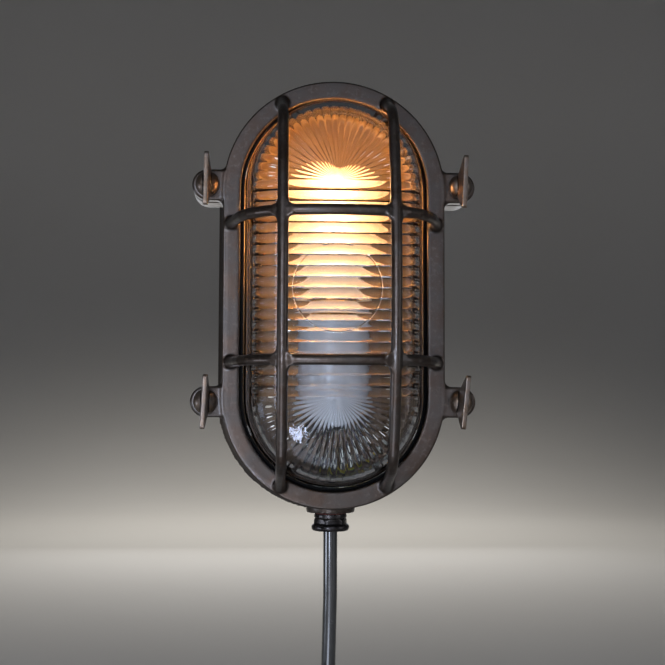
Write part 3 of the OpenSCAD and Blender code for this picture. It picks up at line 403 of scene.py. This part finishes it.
def tube(name, line, radius, sides):
    # a closed round tube round a line, with a map that runs along it and round it
    curve = bpy.data.curves.new(name, "CURVE")
    curve.dimensions = "3D"
    curve.bevel_depth = radius
    curve.bevel_resolution = sides // 4 - 2
    curve.use_fill_caps = True
    curve.twist_mode = "MINIMUM"
    spline = curve.splines.new("POLY")
    spline.points.add(len(line) - 1)
    for point, at in zip(spline.points, line):
        point.co = (*at, 1)
    made = bpy.data.objects.new(name, curve)
    scene.collection.objects.link(made)
    pickOnly(made)
    bpy.ops.object.convert(target="MESH")
    made = bpy.context.object
    bpy.ops.object.shade_smooth()
    return made


flexLine = [place(*p) for p in smoothLine(flexRoute, 3)]
for i in range(1, round(flex["turns"] * flex["pointsPerTurn"]) + 1):
    angle = 2 * math.pi * i / flex["pointsPerTurn"]
    flexLine.append(place(flex["coilX"] + flex["coilRadius"] * math.cos(angle),
                          flex["depth"] + flex["pitch"] * i / flex["pointsPerTurn"],
                          flex["coilZ"] - flex["coilRadius"] * math.sin(angle)))
flexPiece = tube("flexSheath", flexLine, flex["diameter"] / 2 * mm, flex["sides"])
dress(flexPiece, "sheath")
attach(flexPiece, "housing")
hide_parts("flex_lead", "flex_coil")

# stripped cores at the far end of the flex, each with a twist of bare strands
tails = {"coreWidth": 2.6, "strand": 0.42, "bareSteps": 6}
tailRoutes = {
    "live": [(-53.4, 45.1, -298), (-58.9, 45.2, -295.8), (-65.6, 46, -291.5), (-72, 47.2, -285.2),
             (-77, 48.5, -277.5), (-79.5, 49.5, -269)],
    "neutral": [(-53.9, 42.5, -299.4), (-59.6, 42.5, -297.2), (-66.8, 42.6, -293), (-74, 43, -286.8),
                (-79.6, 43.6, -278.8), (-83, 44.4, -270)],
    "earth": [(-52.9, 42.5, -296.6), (-58.2, 42.5, -294.4), (-64.6, 42.2, -290.2), (-70.8, 41.8, -284),
              (-74.6, 41.5, -276), (-76.2, 41.4, -267.4)]}
coreFinish = {"live": "brown", "neutral": "blue", "earth": "earth"}


def joinTo(piece, others):
    pickOnly(piece)
    for other in others:
        other.select_set(True)
    bpy.ops.object.join()
    return bpy.context.object


def strandedEnd(name, line, strand):
    # seven wires twisted round each other along the last part of a core
    wires = []
    for k in range(7):
        points = []
        for i, at in enumerate(line):
            ahead = line[min(i + 1, len(line) - 1)] - line[max(i - 1, 0)]
            sideways = ahead.cross(Vector((0, 1, 0))).normalized()
            over = ahead.cross(sideways).normalized()
            angle = 2 * math.pi * (k / 6 + i * 0.05)
            reach = 0 if k == 6 else strand * 1.02 * mm
            points.append(at + (sideways * math.cos(angle) + over * math.sin(angle)) * reach)
        wires.append(tube(name + str(k), points, strand / 2 * mm, 12))
    return joinTo(wires[0], wires[1:])


for name, route in tailRoutes.items():
    line = [place(*p) for p in smoothLine(route, 6)]
    core = tube("core_" + name, line[:-tails["bareSteps"]], tails["coreWidth"] / 2 * mm, 20)
    dress(core, coreFinish[name])
    bare = strandedEnd("bare_" + name, line[-tails["bareSteps"] - 3:-1], tails["strand"])
    dress(bare, "copper")
    whole = joinTo(core, [bare])
    whole.name = "tail" + name.title()
    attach(whole, "housing")
    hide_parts("tail_" + name)
print("flex: cores stripped")

# strap that ties the coil at its top
strap = {"width": 9, "thick": 1.2, "reach": 4.5, "front": 47.9, "back": 12.5, "z": -220, "round": 3.4,
         "tabLength": 13, "tabThick": 1.1, "tabDepth": 41.5, "tabRise": 6.4}


def strapRing():
    middle = (strap["front"] + strap["back"]) / 2
    bpy.ops.mesh.primitive_cube_add(size=1, location=place(flex["coilX"], middle, strap["z"]))
    ring = bpy.context.object
    ring.name = "coilStrap"
    ring.scale = (strap["width"] * mm, (strap["front"] - strap["back"]) * mm, 2 * strap["reach"] * mm)
    settle(ring)
    bpy.ops.object.mode_set(mode="EDIT")
    bpy.ops.mesh.select_all(action="DESELECT")
    bpy.ops.mesh.select_mode(type="FACE")
    bpy.ops.object.mode_set(mode="OBJECT")
    for face in ring.data.polygons:  # the two open ends of the ring face along the coil's run
        face.select = abs(face.normal.x) > 0.9
    bpy.ops.object.mode_set(mode="EDIT")
    bpy.ops.mesh.delete(type="FACE")
    bpy.ops.object.mode_set(mode="OBJECT")
    addModifier(ring, "BEVEL", width=strap["round"] * mm, segments=6, limit_method="ANGLE")
    addModifier(ring, "SOLIDIFY", thickness=strap["thick"] * mm, offset=1)
    addModifier(ring, "BEVEL", width=0.25 * mm, segments=2, limit_method="ANGLE")
    return ring


strapPiece = strapRing()
bpy.ops.mesh.primitive_cube_add(size=1, location=place(flex["coilX"] + 0.4, strap["tabDepth"],
                                                      strap["z"] + strap["tabRise"]))
tab = bpy.context.object
tab.scale = (strap["width"] * 0.94 * mm, strap["tabLength"] * mm, strap["tabThick"] * mm)
settle(tab)
addModifier(tab, "BEVEL", width=0.3 * mm, segments=2)
strapPiece = joinTo(strapPiece, [tab])
strapPiece.name = "coilStrap"
dress(strapPiece, "strap")
smoothShade(strapPiece)
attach(strapPiece, "housing")
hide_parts("coil_tie")
print("flex: strap and cord stated")


# castings, copied from the frame's own solids and softened as a sand mould leaves them
def markEdges(piece, wornFrom, wornTo, rounds=2):
    # how rounded-off and how hollow the surface is at each point: rounded edges for wear, hollows for a darker tone
    mesh = piece.data
    count = len(mesh.vertices)
    at, normal = np.empty(count * 3), np.empty(count * 3)
    mesh.vertices.foreach_get("co", at)
    mesh.vertices.foreach_get("normal", normal)
    at, normal = at.reshape(-1, 3), normal.reshape(-1, 3)
    ends = np.empty(len(mesh.edges) * 2, int)
    mesh.edges.foreach_get("vertices", ends)
    a, b = ends.reshape(-1, 2).T
    step = at[b] - at[a]
    length = np.maximum((step ** 2).sum(1), 1e-12)
    near = np.bincount(a, minlength=count) + np.bincount(b, minlength=count)
    bend = (np.bincount(a, -(step * normal[a]).sum(1) / length, count)
            + np.bincount(b, (step * normal[b]).sum(1) / length, count))
    bend = bend / np.maximum(near, 1) * mm  # per millimetre, positive on an outer edge
    for _ in range(rounds):
        spread = np.bincount(a, bend[b], count) + np.bincount(b, bend[a], count)
        bend = 0.5 * bend + 0.5 * spread / np.maximum(near, 1)
    for name, value in (("worn", (bend - wornFrom) / (wornTo - wornFrom)), ("hollow", (-bend - 0.04) / 0.16)):
        made = mesh.attributes.new(name, "FLOAT", "POINT")
        made.data.foreach_set("value", np.clip(value, 0, 1).astype(np.float32))


castings = {
    "frontFrame": {"node": "front_frame", "body": "cover", "voxel": 0.64, "smooth": 4, "finish": "castFrame",
                   "slot": "cast_bronze", "worn": (0.2, 0.55)},
    "backBox": {"node": "back_box", "body": "housing", "voxel": 0.95, "smooth": 3, "finish": "castBox",
                "slot": "cast_bronze", "worn": (0.16, 0.45)},
    "thumbscrewMaster": {"node": "thumbscrew_ur", "body": "screw_ur", "voxel": 0.33, "smooth": 4,
                         "finish": "castScrew", "slot": "screw_bronze", "worn": (0.25, 0.7)},
    "glandNut": {"node": "gland_nut", "body": "housing", "voxel": 0.32, "smooth": 3, "finish": "gland",
                 "slot": "gland_metal", "worn": (0.25, 0.8)},
    "glandCollar": {"node": "gland_body", "body": "housing", "voxel": 0.4, "smooth": 3, "finish": "gland",
                    "slot": "gland_metal", "worn": (0.25, 0.8)},
    "porcelainHolder": {"node": "lampholder_body", "body": "housing", "voxel": 0.6, "smooth": 5,
                        "finish": "porcelain", "slot": "porcelain", "worn": (0.3, 0.9)}}


def softened(name, plan):
    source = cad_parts[plan["node"]]
    made = bpy.data.objects.new(name, source.data.copy())
    scene.collection.objects.link(made)
    pickOnly(made)
    bpy.ops.object.mode_set(mode="EDIT")
    bpy.ops.mesh.select_all(action="SELECT")
    bpy.ops.mesh.remove_doubles(threshold=0.001 * mm)
    bpy.ops.object.mode_set(mode="OBJECT")
    addModifier(made, "REMESH", mode="VOXEL", voxel_size=plan["voxel"] * mm)
    addModifier(made, "SMOOTH", factor=0.5, iterations=plan["smooth"])
    pickOnly(made)
    bpy.ops.object.shade_smooth()
    markEdges(made, *plan["worn"])
    dress(made, plan["finish"])
    return made


def sharpenRim(piece, middle=59.0, depth=44.3, old=2.2, new=1.0):
    # draws the rounding of the band's outer edge in to a tighter one; the corner's middle is (middle, depth)
    mesh = piece.data
    at = np.empty(len(mesh.vertices) * 3)
    mesh.vertices.foreach_get("co", at)
    at = at.reshape(-1, 3)
    x, y, z = at.T / mm
    over = np.sign(z) * np.maximum(np.abs(z) - shell["halfLength"], 0)
    away = np.hypot(x, over)
    u, v = away - middle, -y - depth
    reach = np.hypot(u, v)
    inCorner = (u > 0) & (v > 0) & (reach > 0.5)
    cu, cv = np.where(inCorner, u / np.maximum(reach, 1e-6), 1), np.where(inCorner, v / np.maximum(reach, 1e-6), 0)
    shift = old - new
    along = (cu + cv) * shift
    arc = along + np.sqrt(np.maximum(along ** 2 - 2 * shift ** 2 + new ** 2, 0))
    top, side = old / np.maximum(cv, 1e-6), old / np.maximum(cu, 1e-6)
    wanted = np.where(top * cu <= shift, top, np.where(side * cv <= shift, side, arc))
    push = (wanted - old) * np.where(inCorner, 1, 0) * np.clip(1 - (reach - old) / 2.5, 0, 1)
    newU, newV = u + cu * push, v + cv * push
    scale = np.where(away > 1, (newU + middle) / np.maximum(away, 1), 1)
    at[:, 0] = x * scale * mm
    at[:, 2] = (z + over * (scale - 1)) * mm
    at[:, 1] = -(newV + depth) * mm
    mesh.vertices.foreach_set("co", at.ravel())
    mesh.update()


def turnFoot(piece, middleZ=-130.1, halfHeight=2.0, bore=8.8, waist=9.2, bead=1.5):
    # the nut's flats end in a turned bead, rounder and wider than its waist
    for vertex in piece.data.vertices:
        x, y, z = vertex.co.x / mm, vertex.co.y / mm + flex["depth"], vertex.co.z / mm
        reach = math.hypot(x, y)
        if reach > bore:
            swell = bead * math.sqrt(max(0, 1 - ((z - middleZ) / halfHeight) ** 2))
            wanted = waist + swell + (reach - 10) * (0.5 if z > middleZ + halfHeight else 0.1)
            vertex.co.x *= wanted / reach
            vertex.co.y = (y * wanted / reach - flex["depth"]) * mm


def markRawInsideWithPaintedLight(piece, reach, floorDepth):
    # the cavity of the box, where the metal is left as it was cast; its share is painted weak low down as painted
    # shade and strong near the top as painted light round the lamp
    mesh = piece.data
    at = np.empty(len(mesh.vertices) * 3)
    mesh.vertices.foreach_get("co", at)
    x, y, z = at.reshape(-1, 3).T / mm
    away = np.hypot(x, np.maximum(np.abs(z) - shell["halfLength"], 0))
    raw = np.clip((reach - away) / 0.6, 0, 1) * np.clip((-y - floorDepth) / 0.4, 0, 1)
    # painted shade and light: the raw share falls to a tenth at the bottom of the box and is full above the lamp's
    # middle
    raw *= 0.1 + 0.5 * np.clip((z + 75) / 85, 0, 1) + 0.4 * np.clip((z - 40) / 25, 0, 1)
    made = mesh.attributes.new("inside", "FLOAT", "POINT")
    made.data.foreach_set("value", raw.astype(np.float32))


for name, plan in castings.items():
    piece = softened(name, plan)
    if name == "backBox":
        markRawInsideWithPaintedLight(piece, 56.0, 3.2)
    elif name == "frontFrame":
        sharpenRim(piece)
    elif name == "glandNut":
        turnFoot(piece)
    if name == "thumbscrewMaster":
        master = piece
    else:
        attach(piece, plan["body"])
        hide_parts(plan["node"])
    print("casting:", name, len(piece.data.polygons), "faces")

# thumbscrews: one softened head copied to each lug, its wing turned as in the photograph
thumbscrew = {"x": 69.7, "z": 59.5, "headDepth": 47.1, "wingReach": 18.5, "rootExtra": 1.15, "rootWidth": 6.4,
              "wingHalf": 1.3, "masterTurn": -2.5,
              "turns": {"ul": (-1, 1, -1), "ur": (1, 1, -2.5), "ll": (-1, -1, -3), "lr": (1, -1, -6)}}


def draftWing(piece, plan):
    # a cast wing is thicker where it meets the head than at its front edge
    home = Matrix.Translation(place(plan["x"], 0, plan["z"]))
    upright = Matrix.Rotation(math.radians(-plan["masterTurn"]), 4, (0, -1, 0)) @ home.inverted()
    piece.data.transform(upright)
    at = np.empty(len(piece.data.vertices) * 3)
    piece.data.vertices.foreach_get("co", at)
    at = at.reshape(-1, 3) / mm
    rise = np.clip((-at[:, 1] - plan["headDepth"]) / plan["wingReach"], 0, 1)
    onWing = np.where(-at[:, 1] > plan["headDepth"] + 0.3, 1.0, 0.0)
    side = np.abs(at[:, 0])
    near = np.where(side < plan["wingHalf"], side / plan["wingHalf"],
                    np.clip((plan["rootWidth"] - side) / (plan["rootWidth"] - plan["wingHalf"]), 0, 1))
    at[:, 0] += np.sign(at[:, 0]) * plan["rootExtra"] * (1 - rise) * near * onWing
    piece.data.vertices.foreach_set("co", (at * mm).ravel())
    piece.data.transform(home)


draftWing(master, thumbscrew)
for corner, (sx, sz, degrees) in thumbscrew["turns"].items():
    screw = master.copy()
    screw.data = master.data.copy()
    screw.name = "thumbscrew_" + corner + "_head"
    scene.collection.objects.link(screw)
    home = Matrix.Translation(place(thumbscrew["x"], 0, thumbscrew["z"]))
    there = Matrix.Translation(place(sx * thumbscrew["x"], 0, sz * thumbscrew["z"]))
    screw.data.transform(there @ Matrix.Rotation(math.radians(degrees), 4, (0, -1, 0)) @ home.inverted())
    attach(screw, "screw_" + corner)
    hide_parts("thumbscrew_" + corner)
bpy.data.objects.remove(master)
print("thumbscrews: four in place")


# glass: one pressed shell with prism ribs inside
def glassShoulder():
    # where the crown's arc meets the shoulder's: the shoulder's middle and the angles at which it starts and ends
    lean = math.radians(shell["lean"])
    side, crownMiddle = shell["shoulder"], shell["rise"] - shell["crown"]
    leanX, leanH = math.cos(lean), math.sin(lean)
    qx, qh = shell["baseRadius"] - side * leanX, -side * leanH - crownMiddle
    along = qx * -leanH + qh * leanX
    run = math.sqrt(along * along - (qx * qx + qh * qh) + (shell["crown"] - side) ** 2) - along
    cx, ch = shell["baseRadius"] - side * leanX - run * leanH, -side * leanH + run * leanX
    return {"x": cx, "h": ch, "start": math.atan2(ch - crownMiddle, cx), "end": lean}


shoulder = glassShoulder()


def shellPoint(share, kind, inward):
    # a point on the crown or the shoulder, inward from the outer face
    if kind == "crown":
        a = math.pi / 2 + (shoulder["start"] - math.pi / 2) * share
        r = shell["crown"] - inward
        return r * math.cos(a), shell["rise"] - shell["crown"] + r * math.sin(a)
    a = shoulder["start"] + (shoulder["end"] - shoulder["start"]) * share
    r = shell["shoulder"] - inward
    return shoulder["x"] + r * math.cos(a), shoulder["h"] + r * math.sin(a)


def glassSection(rib):
    # (radius, height above the rim) from the outer middle round to the inner middle
    points = [(0, shell["rise"])]
    points += [shellPoint(i / 36, "crown", 0) for i in range(1, 37)]
    points += [shellPoint(i / 26, "shoulder", 0) for i in range(1, 27)]
    points += [(shell["baseRadius"], 0.6), (shell["baseRadius"] + 0.6, 0)]
    points += [(shell["rimRadius"] - 0.4, 0), (shell["rimRadius"], -0.4)]
    points += [(shell["rimRadius"], 0.4 - shell["rimThick"]), (shell["rimRadius"] - 0.4, -shell["rimThick"])]
    foot = shell["baseRadius"] - shell["wall"]
    points += [(foot + 0.5, -shell["rimThick"]), (foot, 0.5 - shell["rimThick"]), (foot, 0)]
    for i in range(17):  # the ribs are lower at the foot of the wall
        points.append(shellPoint(1 - i / 16, "shoulder", shell["wall"] + rib * (0.3 + 0.7 * (i / 16))))
    points += [shellPoint(1 - i / 8, "crown", shell["wall"] + rib) for i in range(1, 8)]
    points += [(0, shell["rise"] - shell["wall"] - rib)]
    return points


def makeGlass():
    spokes = []
    sideSteps, endSteps = shell["stepsPerSideRib"], shell["stepsPerEndRib"]
    side, end = shell["sideRibs"] * sideSteps, shell["endRibs"] * endSteps
    for half in (0, 1):
        for k in range(side):
            share = k / side if half == 0 else 1 - k / side
            spokes.append((shell["halfLength"] * (2 * share - 1), math.pi * half, k / sideSteps, False))
        for k in range(end):
            spokes.append((shell["halfLength"] * (1 - 2 * half), math.pi * (half + k / end), k / endSteps, True))
    rows = len(glassSection(0))
    points, faces = [], []
    for root, angle, ribPlace, atEnd in spokes:
        rib = (shell["fanRib"] if atEnd else shell["rib"]) * abs(math.sin(math.pi * ribPlace))
        section = glassSection(rib)
        for j, (r, h) in enumerate(section):
            if atEnd and j > rows - 10:  # the fan of ribs fades out where its ribs meet
                flatH = shell["rise"] - shell["wall"] - r * r / (2 * shell["crown"])
                h = flatH + (h - flatH) * min(1, r / shell["fanFade"])
            x, z = r * math.cos(angle), root + r * math.sin(angle)
            points.append(place(x, shell["rimFront"] + h, z))
    for s in range(len(spokes)):
        n = (s + 1) % len(spokes)
        faces += [(s * rows + j, s * rows + j + 1, n * rows + j + 1, n * rows + j) for j in range(rows - 1)]
    mesh = bpy.data.meshes.new("ribbedGlass")
    mesh.from_pydata(points, [], faces)
    made = bpy.data.objects.new("ribbedGlass", mesh)
    scene.collection.objects.link(made)
    pickOnly(made)
    bpy.ops.object.mode_set(mode="EDIT")
    bpy.ops.mesh.select_all(action="SELECT")
    bpy.ops.mesh.remove_doubles(threshold=0.002 * mm)
    bpy.ops.mesh.normals_make_consistent(inside=False)
    bpy.ops.object.mode_set(mode="OBJECT")
    smoothShade(made, 50)
    return made


def ovalRing(name, section):
    # a closed ring round the oval, from a section of (radius, depth) points
    roots = [(shell["halfLength"], math.pi * i / 96) for i in range(97)]
    roots += [(-shell["halfLength"], math.pi * (1 + i / 96)) for i in range(97)]
    rows = len(section)
    points = [place(r * math.cos(a), d, root + r * math.sin(a)) for root, a in roots for r, d in section]
    faces = []
    for k in range(len(roots)):
        n = (k + 1) % len(roots)
        faces += [(k * rows + j, k * rows + (j + 1) % rows, n * rows + (j + 1) % rows, n * rows + j)
                  for j in range(rows)]
    mesh = bpy.data.meshes.new(name)
    mesh.from_pydata(points, [], faces)
    made = bpy.data.objects.new(name, mesh)
    scene.collection.objects.link(made)
    pickOnly(made)
    bpy.ops.object.mode_set(mode="EDIT")
    bpy.ops.mesh.select_all(action="SELECT")
    bpy.ops.mesh.normals_make_consistent(inside=False)
    bpy.ops.object.mode_set(mode="OBJECT")
    addModifier(made, "BEVEL", width=0.3 * mm, segments=3, limit_method="ANGLE", angle_limit=math.radians(50))
    smoothShade(made, 40)
    return made


# the gasket in front of the glass: flat under the frame, with a black rubber lip that closes the gap round the
# glass; the lip is partly real rubber and partly painted shade, black where the gap would lie in shade
shadeLipGasket = ovalRing("gasketWithShadeLip", [(49.7, 41.5), (56.9, 41.5), (56.9, 42.5), (51.3, 42.5), (51.2, 43.6),
                                   (49.6, 43.8)])
dress(shadeLipGasket, "rubber")
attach(shadeLipGasket, "cover")
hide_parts("glass_gasket")

glassPiece = makeGlass()
dress(glassPiece, "glass")
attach(glassPiece, "cover")
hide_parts("glass")
print("glass:", len(glassPiece.data.polygons), "faces")

# lamp: pearl glass globe with its neck, and a threaded brass cap
lamp = {"depth": 43, "globe": 30, "globeZ": 40, "capLow": -38, "capTop": -13, "neckRadius": 13.2,
        "threadRadius": 12.75, "threadDeep": 0.4, "threadPitch": 3.6}


def spun(name, profile, steps, centre):
    # turns a profile of (radius, z) points round an upright axis
    mesh = bpy.data.meshes.new(name)
    mesh.from_pydata([centre + Vector((r * mm, 0, z * mm)) for r, z in profile],
                     [(i, i + 1) for i in range(len(profile) - 1)], [])
    made = bpy.data.objects.new(name, mesh)
    scene.collection.objects.link(made)
    pickOnly(made)
    bpy.ops.object.mode_set(mode="EDIT")
    bpy.ops.mesh.select_all(action="SELECT")
    bpy.ops.mesh.spin(steps=steps, angle=2 * math.pi, center=centre, axis=(0, 0, 1))
    bpy.ops.mesh.select_all(action="SELECT")
    bpy.ops.mesh.remove_doubles(threshold=0.002 * mm)
    bpy.ops.mesh.normals_make_consistent(inside=False)
    bpy.ops.object.mode_set(mode="OBJECT")
    bpy.ops.object.shade_smooth()
    return made


globeLine = []
for i in range(29):
    a = math.radians(90 - i * (90 + 32) / 28)
    globeLine.append((lamp["globe"] * math.cos(a), lamp["globeZ"] + lamp["globe"] * math.sin(a)))
joinR, joinZ = globeLine[-1]
for i in range(1, 13):
    t = i / 12
    ease = (1 - t) ** 2 * 0.5 + (1 - t) * 0.5
    globeLine.append((lamp["neckRadius"] + (joinR - lamp["neckRadius"]) * ease,
                      joinZ + (lamp["capTop"] + 0.4 - joinZ) * t))
globeLine.append((lamp["neckRadius"] - 0.4, lamp["capTop"] - 1))
globeLine.append((0, lamp["capTop"] - 1))
globe = spun("pearlGlobe", globeLine, 72, place(0, lamp["depth"], 0))
dress(globe, "lamp")
smoothShade(globe, 50)
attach(globe, "housing")
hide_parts("bulb")

# the hot middle of the lamp and the veils of light round it, which show through the pearl glass
middles = {"lampGlow": {"radius": 9.5, "half": 15, "z": 48, "finish": "glow"},
           "lampVeil13": {"radius": 13, "half": 19, "z": 47, "finish": "veil13"},
           "lampVeil17": {"radius": 17, "half": 22.5, "z": 44.5, "finish": "veil17"},
           "lampVeil21": {"radius": 21, "half": 25, "z": 42.5, "finish": "veil21"},
           "lampVeil25": {"radius": 25, "half": 27, "z": 41.5, "finish": "veil25"}}
for name, middle in middles.items():
    line = [(middle["radius"] * math.cos(math.radians(a)), middle["z"] + middle["half"] * math.sin(math.radians(a)))
            for a in range(90, -91, -6)]
    glow = spun(name, line, 48, place(0, lamp["depth"], 0))
    dress(glow, middle["finish"])
    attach(glow, "housing")

capLine = [(0, lamp["capLow"]), (4.4, lamp["capLow"]), (5.0, lamp["capLow"] + 1), (10.5, lamp["capLow"] + 3),
           (12.2, lamp["capLow"] + 4)]
for i in range(1, 40):
    wind = math.sin(i * 0.5 * 2 * math.pi / lamp["threadPitch"])
    capLine.append((lamp["threadRadius"] + lamp["threadDeep"] * wind, lamp["capLow"] + 4.4 + i * 0.5))
capLine += [(13.15, lamp["capTop"] - 0.6), (12.6, lamp["capTop"]), (0, lamp["capTop"] - 0.3)]
cap = spun("lampCap", capLine, 64, place(0, lamp["depth"], 0))
dress(cap, "brass")
smoothShade(cap, 50)
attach(cap, "housing")
print("lamp: globe and cap")

# wires inside the box, as smooth cores
sheathZ = -106.95  # where the cores leave the sheath
tag = {"x": 27, "z": -90, "depth": 10.9, "turn": math.radians(-51.5)}


def byTag(s, above):
    # a point s out from the earth tag's middle, along its tail
    return (tag["x"] + s * math.sin(tag["turn"]), tag["depth"] + above, tag["z"] - s * math.cos(tag["turn"]))


liveCore = [(-1.6, 17, sheathZ), (-1.6, 17, sheathZ + 0.7), (-1.7, 16.9, sheathZ + 1.4), (-4, 14, sheathZ + 3),
            (-5.5, 10.6, -102.5), (-5.5, 10, -98)]
earthInner = [(0, 19.4, sheathZ), (0, 19.4, sheathZ + 0.8), (0.2, 19.5, sheathZ + 1.6), (2.4, 19.7, sheathZ + 3.6),
              (8, 19, sheathZ + 5.5), (14.2, 16, sheathZ + 6.4), byTag(13.2, 1.1), byTag(10.3, 0), byTag(8, 0),
              byTag(6, 0)]
liveLead = [(-5.5, 10, -90), (-5.5, 10.4, -85), (-5.7, 14, -81.5), (-6, 24, -80.5), (-6, 29.5, -78.5),
            (-6, 31, -74), (-6, 31, -62)]


def mirrored(route):
    return [(-x, d, z) for x, d, z in route]


innerWires = {"core_live": (liveCore, "brown", "brown_core"),
              "core_neutral": (mirrored(liveCore), "blue", "blue_core"),
              "core_earth": (earthInner, "earth", "earth_core"), "lamp_lead_live": (liveLead, "brown", "brown_core"),
              "lamp_lead_neutral": (mirrored(liveLead), "blue", "blue_core")}
for node, (route, finish, slotName) in innerWires.items():
    wire = tube("wire_" + node, [place(*p) for p in smoothLine(route, 6)], tails["coreWidth"] / 2 * mm, 20)
    dress(wire, finish)
    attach(wire, "housing")
    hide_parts(node)
print("wires: five inside the box")

# the frame's own solids that keep their shape
carried = {"body_gasket": "rubber", "gland_seal": "rubber", "gland_washer": "fibre",
           "lampholder_sleeve": "brass", "lampholder_contact": "brass", "terminal_inserts": "brass",
           "holder_bracket": "dullSteel", "bracket_screws": "steel", "holder_screws": "steel",
           "terminal_screws": "steel", "terminal_fixing": "steel", "earth_tag": "steel", "earth_screw": "steel",
           "terminal_block": "phenolic", "captive_washer_ul": "castScrew", "captive_washer_ur": "castScrew",
           "captive_washer_ll": "castScrew", "captive_washer_lr": "castScrew"}
for node, finish in carried.items():
    dress(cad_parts[node], finish)
print("carried over:", len(carried))

# studio: one pale bowl for floor and background, and soft lights
# the bowl's floor is in millimetres, and its radius, rise and bend are in metres
studio = {"floorZ": -304.5, "radius": 3.2, "rise": 2.6, "bend": 1.2}
flatEnd = studio["radius"] - studio["bend"]
bowlLine = [(0, 0), (0.5, 0), (1.2, 0), (flatEnd, 0)]
for i in range(1, 13):
    a = math.radians(i * 7.5)
    bowlLine.append((flatEnd + studio["bend"] * math.sin(a), studio["bend"] * (1 - math.cos(a))))
bowlLine.append((studio["radius"], studio["rise"]))
bowl = spun("paleBowl", [(r / mm, z / mm) for r, z in bowlLine], 96, place(0, 0, studio["floorZ"]))
# Pale studio paper: matt, with broad soft changes of tone and a faint pulp grain drawn at 3 mm so that it shows
paper, tree, shader, where = startFinish("palePaper", Roughness=0.9)
tree.links.new(blend(tree, blotches(tree, where, 400, 3), "#d3cfc9", "#d9d6d1"), shader.inputs["Base Color"])
relief(tree, shader, blotches(tree, where, 3, 2), 0.1, 0.2)
bowl.data.materials.clear()
bowl.data.materials.append(paper)

world = bpy.data.worlds.new("studioAir")
scene.world = world
world.use_nodes = True
world.node_tree.nodes["Background"].inputs["Color"].default_value = linear("#dfe6ee")
world.node_tree.nodes["Background"].inputs["Strength"].default_value = 0.05

# where each light hangs in metres, what it looks at, its two sides, its watts and how wide it throws in degrees
softboxes = {"key": {"at": (-0.3, -1.0, -0.03), "to": (0, 0, 0), "size": (0.2, 0.5), "power": 2.2,
                     "colour": "#dae6ff", "spread": 180},
             "left": {"at": (-0.75, -0.2, -0.2), "to": (0, 0, -0.03), "size": (0.3, 0.16), "power": 0.6,
                      "colour": "#dfe9ff", "spread": 180},
             "right": {"at": (1.2, -0.7, 0.1), "to": (0, 0, 0), "size": (0.5, 0.7), "power": 1.2,
                       "colour": "#eef1ff", "spread": 180},
             "front": {"at": (-0.3, -1.6, 0.36), "to": (0, 0, 0.1), "size": (2.2, 1.15), "power": 5.2,
                       "colour": "#dde7ff", "spread": 180},
             "low": {"at": (-0.1, -0.42, -0.29), "to": (-0.1, -0.42, 1), "size": (0.2, 0.4), "power": 0.5,
                     "colour": "#dfe9ff", "spread": 180},
             "rear": {"at": (0, 1.3, 0.12), "to": (0, 0, 0), "size": (0.9, 0.6), "power": 1.4,
                      "colour": "#f1f3f8", "spread": 180},
             "frontFloor": {"at": (-0.1, -1.5, 1.5), "to": (-0.1, -1.3, -0.3), "size": (1.0, 1.0), "power": 2.5,
                            "colour": "#f4f6ff", "spread": 60},
             "backFloor": {"at": (0, 1.7, 1.5), "to": (0, 1.6, -0.3), "size": (1.2, 1.2), "power": 6,
                           "colour": "#fbf8f2", "spread": 70}}
# a snooted lamp, low in front, whose beam falls on the holder and the lower glass; its cone is in degrees
snoot = {"at": (-0.13, -1.0, -0.2), "to": (0, -0.05, -0.024), "power": 17, "cone": 6, "softness": 0.09,
         "colour": "#d5e2ff"}


def hangLight(name, kind, plan):
    bpy.ops.object.light_add(type=kind, location=plan["at"])
    light = bpy.context.object
    light.name = name
    light.data.energy = plan["power"]
    light.data.color = linear(plan["colour"])[:3]
    light.visible_camera = False
    light.rotation_euler = (Vector(plan["to"]) - Vector(plan["at"])).to_track_quat("-Z", "Y").to_euler()
    return light.data


for name, box in softboxes.items():
    soft = hangLight(name + "Softbox", "AREA", box)
    soft.shape = "RECTANGLE"
    soft.size, soft.size_y = box["size"]
    soft.spread = math.radians(box["spread"])
beam = hangLight("snootedLamp", "SPOT", snoot)
beam.spot_size, beam.spot_blend = math.radians(snoot["cone"]), 1.0
beam.shadow_soft_size = snoot["softness"]

scene.view_settings.view_transform = "Standard"
scene.cycles.max_bounces = 16
scene.cycles.transmission_bounces = 14
scene.cycles.caustics_refractive = True
scene.cycles.caustics_reflective = False
scene.cycles.blur_glossy = 0.6
scene.cycles.sample_clamp_indirect = 12
scene.cycles.use_denoising = True
print("studio: lit")
